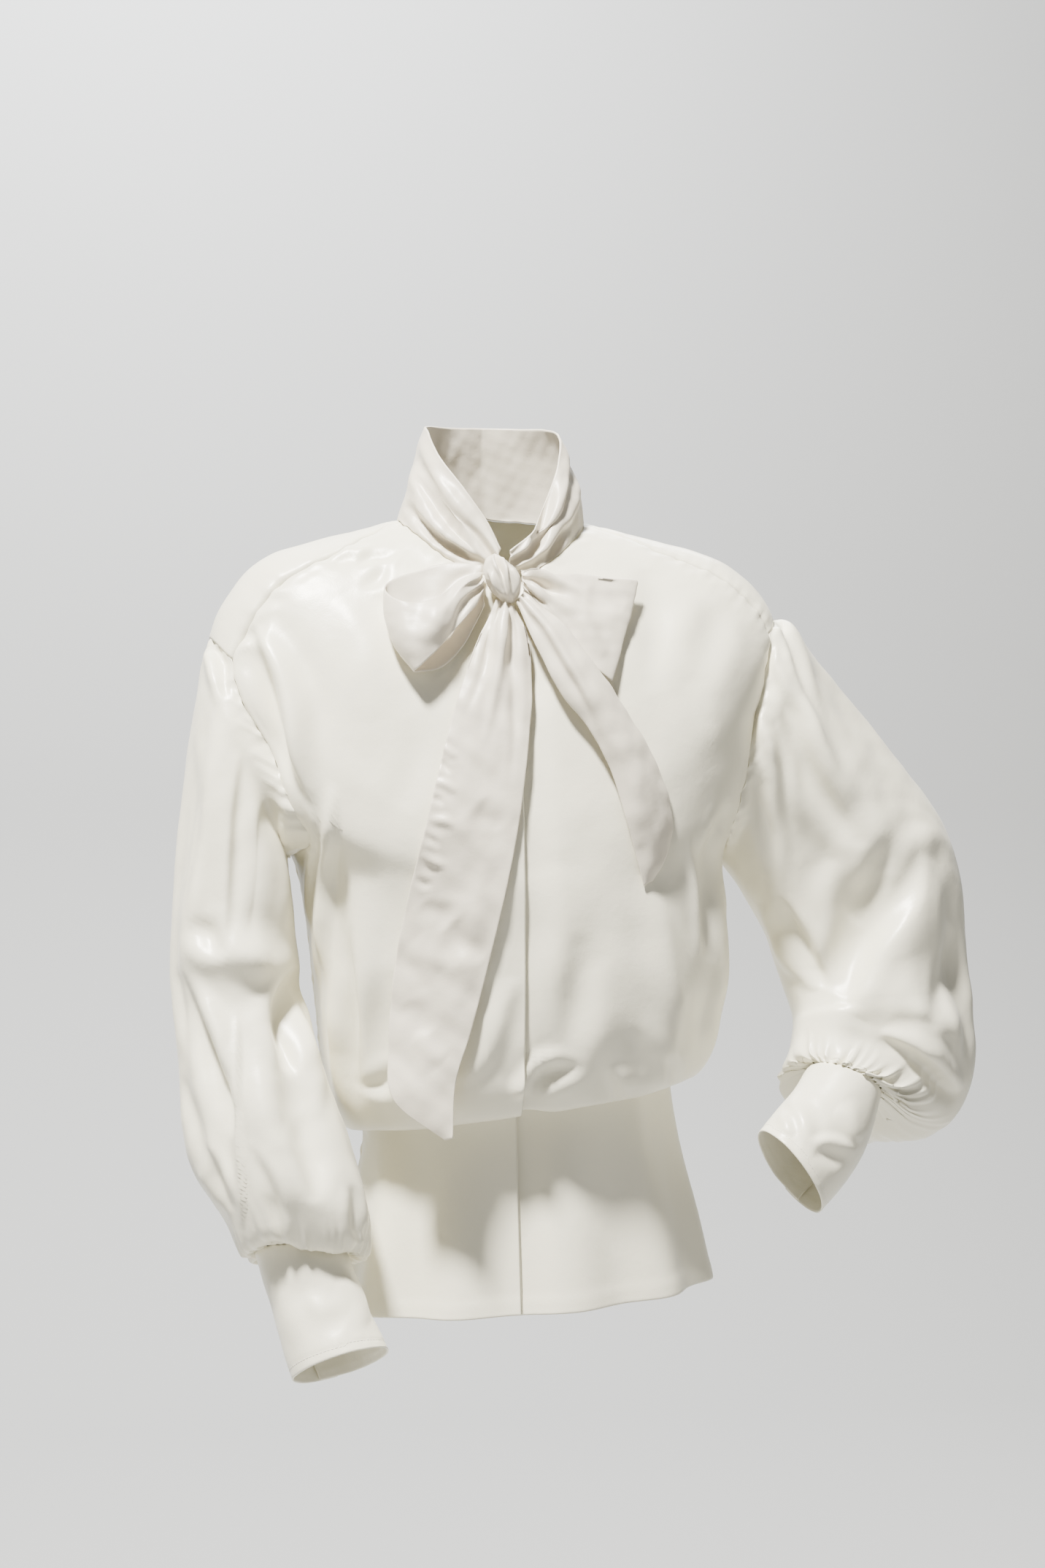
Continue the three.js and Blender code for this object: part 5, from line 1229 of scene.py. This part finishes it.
# The loops and tails: the same doubled strip, pleated where it enters the knot. The right loop
# stands open, the left one lies nearly flat, and both tails hang free with slanting turned ends.
RIBBON_COLUMNS = "at topX topOff topZ lowX lowOff lowZ belly swell"
LOOP_RIGHT = table(RIBBON_COLUMNS, [
    (0, -17, 16, -43, -16, 13, -57, 3, 0), (1, -35, 22, -50, -32, 19, -78, 4, 0),
    (2, -55, 27, -64, -49, 22, -97, 5, 0), (3, -76, 27, -66, -64, 21, -111, 4, -4),
    (4, -87, 18, -58, -70, 15, -116, -3, -8), (5, -83, 10, -50, -66, 8, -117, -3, -6),
    (6, -62, 7, -42, -48, 5, -112, -1, -2), (7, -39, 8, -36, -32, 5, -96, -1, 0),
    (8, -16, 8, -38, -16, 7, -68, -1, 0),
])
LOOP_LEFT = table(RIBBON_COLUMNS, [
    (0, 11.5, 15, -43, 12.5, 12, -56, 2, 0), (1, 33, 15, -43, 30, 13, -80, 3, 0),
    (2, 54, 15, -43, 49, 13, -103, 2, 0), (3, 79, 16, -46, 64, 13, -115, 1, 0),
    (4, 98, 13, -47.5, 73, 9, -122, 0, 1), (5, 88, 6, -58, 68, 5, -119, 0, 0),
    (6, 66, 6, -56, 53, 5, -110, 0, 0), (7, 41, 7, -48, 35, 5, -92, 0, 0),
    (8, 12.5, 5, -41, 14, 6, -65, 0, 0),
])
TAIL_LONG = table(RIBBON_COLUMNS, [
    (0, -8, 11, -63, 5, 11, -68, 2, 0), (1, -27, 6, -103, 14, 7, -92, 5, 0),
    (2, -41, 5, -142, 15, 5, -128, 4, 0), (3, -53, 5, -184, 10, 5, -172, 3, 0),
    (4, -64, 4, -228, 3, 5, -218, 3, 0), (5, -75, 4, -276, -7, 5, -266, 3, 0),
    (6, -84, 6, -326, -19, 6, -316, 3, 0), (7, -88, 13, -374, -32, 8, -366, 3, 0),
    (8, -86, 30, -414, -43, 17, -402, 3, 0), (9, -51, 38, -442, -46, 38, -440, 0, 0),
])
TAIL_SHORT = table(RIBBON_COLUMNS, [
    (0, 5.5, 14, -65, 12, 15, -57, 3, 0), (1, 18, 14, -97, 37, 21, -80, 5, 0),
    (2, 34, 12, -131, 60, 18, -111, 8, 0), (3, 53, 10, -156, 82, 10, -142, 9, 0),
    (4, 68, 7, -184, 102, 5, -175, 9, 0), (5, 79, 5, -218, 115, 4, -210, 8, 0),
    (6, 87, 4, -246, 114, 4, -238, 5, 0), (7, 93, 4, -267, 101, 4, -264, 1, 0),
])
RIBBON_THICKNESS = 1.2
RIBBON_ROW = 2
RIBBON_COLUMN = 1.6
RIBBON_SWELLS = ((0.5, 30, 1.0), (0.15, 11, 1.0))
RIBBON_CREASES_FADE_IN = (0.1, 0.5)
RIBBON_RELIEF_STARTS = 0.03
PLEAT_DEPTH = 2.2
PLEAT_REACH = 0.24
PLEATS = 2.5
LOWEST_FRONT = 11.5
ANGLE_STEPS = 30
ANGLE_STEP_SHARE = 0.8
HALVINGS = 20
TAIL_CREASES = [
    (-53, -168, -40, -176, 0, 2.6, 1.1, 1, 0), (-54, -178, -44, -187, 0, 2.4, -1, 1, 0),
    (-57, -192, -41, -200, 0, 2.8, 1.2, 1, 0), (-59, -203, -50, -209, 0, 2.2, -0.9, 1, 0),
    (-61, -218, -43, -224, 0, 3, 1.1, 1, 0), (-64, -229, -54, -239, 0, 2.4, -1, 1, 0),
    (-66, -243, -50, -254, 0, 3, 1.2, 1, 0), (-70, -262, -58, -266, 0, 2.6, -0.9, 1, 0),
    (-24, -206, -14, -228, 0, 8, -1.2, 1, 0), (-60, -276, -50, -296, 0, 8, -1.5, 1, 0),
    (-46, -292, -26, -318, 0, 11, -1.8, 1, 0), (-66, -300, -54, -326, 0, 8, 1.3, 1, 0),
    (-76, -348, -58, -366, 0, 8, -1.2, 1, 0), (-72, -372, -50, -386, 0, 9, 1.2, 1, 0),
    (-4, -80, -24, -170, 3, 4, 1.8, 1, 1), (2, -86, -4, -200, 2, 4, -1.7, 1, 1),
    (-14, -84, -34, -150, 2, 3.5, -1.5, 1, 1), (18, -74, 58, -150, 2, 4, 2, 1, 1),
    (24, -86, 66, -170, -2, 4, -2, 1, 1), (70, -160, 92, -240, 3, 8, 1.4, 1, 0),
    (-26, -250, -44, -350, 4, 9, 1.5, 1, 0),
]
LOOP_CREASES = [
    (17, -44, 62, -66, 5, 3.5, 2.6, 1, 1), (17, -48, 56, -76, 4, 3.5, -2.4, 1, 1),
    (17, -52, 46, -98, 3, 3.5, 2, 1, 1), (30, -58, 68, -104, 4, 7, 2, 1, 0),
    (60, -54, 84, -70, 0, 8, -1.6, 1, 0), (-20, -48, -52, -80, -4, 3.5, 2, 1, 1),
    (-20, -54, -46, -98, -3, 3.5, -2, 1, 1), (-40, -66, -66, -96, -3, 8, 1.8, 1, 0),
]


def front_depth(x, z):
    """How far forward the body's front stands at places seen from the front."""
    angle = np.zeros(x.shape)
    for _ in range(ANGLE_STEPS):
        high, low = np.zeros(x.shape), np.full(x.shape, LOWEST_FRONT)
        for _ in range(HALVINGS):
            middle = (high + low) / 2
            point = body_point(angle, middle)
            high = np.where(point[..., 2] > z, middle, high)
            low = np.where(point[..., 2] > z, low, middle)
        angle = angle + np.degrees(ANGLE_STEP_SHARE * (x - point[..., 0]) / row_at(BODY_RINGS, high)["half"])
    return point[..., 1]


def ribbon(name, rows, length, width, creases, seed, is_loop):
    """A doubled strip between two edge lines. A loop is pleated at both ends."""
    placed = dict(rows)
    placed["topY"] = front_depth(rows["topX"], rows["topZ"]) - rows["topOff"]
    placed["lowY"] = front_depth(rows["lowX"], rows["lowZ"]) - rows["lowOff"]
    along = near_edges(int(length / RIBBON_ROW), length)[:, None]
    t = near_edges(int(width / RIBBON_COLUMN), width)[None, :]
    row = row_at(placed, rows["at"][-1] * along)
    top = np.stack([row["topX"], row["topY"], row["topZ"]], axis=-1)
    low = np.stack([row["lowX"], row["lowY"], row["lowZ"]], axis=-1)
    grid = top + (low - top) * t[..., None]
    to_end = np.minimum(along, 1 - along) if is_loop else along
    pleat = PLEAT_DEPTH * (1 - smooth_step(0, PLEAT_REACH, to_end))
    waves = np.sin(2 * math.pi * PLEATS * t + 0.8 * np.sin(3 * t + seed))
    grid[..., 0] += row["swell"] * np.sin(math.pi * t)
    grid[..., 1] -= row["belly"] * np.sin(math.pi * t) + pleat * waves * np.sin(math.pi * t)
    facing = grid_normals(grid)
    facing = turned(facing, facing[2], FORWARD)
    seen = np.sign(-facing[..., 1]) * smooth_step(*RIBBON_CREASES_FADE_IN, np.abs(facing[..., 1]))
    height = seen * crease_height(creases, grid[..., 0], grid[..., 2])
    height += unevenness(grid, seed, RIBBON_SWELLS)
    height *= smooth_step(0, RIBBON_RELIEF_STARTS, to_end)
    return cloth_shell(name, grid + facing * height[..., None], facing, RIBBON_THICKNESS)


loop_right = ribbon("right_loop", LOOP_RIGHT, 190, 52, LOOP_CREASES, 83, True)
loop_left = ribbon("left_loop", LOOP_LEFT, 190, 56, LOOP_CREASES, 85, True)
tail_long = ribbon("long_tail", TAIL_LONG, 390, 66, TAIL_CREASES, 87, False)
tail_short = ribbon("short_tail", TAIL_SHORT, 225, 40, TAIL_CREASES, 89, False)
dress(loop_right, "bow_loop_right", TIE_CREPE_PAINTED_SHADE)
dress(loop_left, "bow_loop_left", TIE_CREPE_PAINTED_SHADE)
dress(tail_long, "tie_tail_long", TIE_CREPE_PAINTED_SHADE)
dress(tail_short, "tie_tail_short", TIE_CREPE_PAINTED_SHADE)
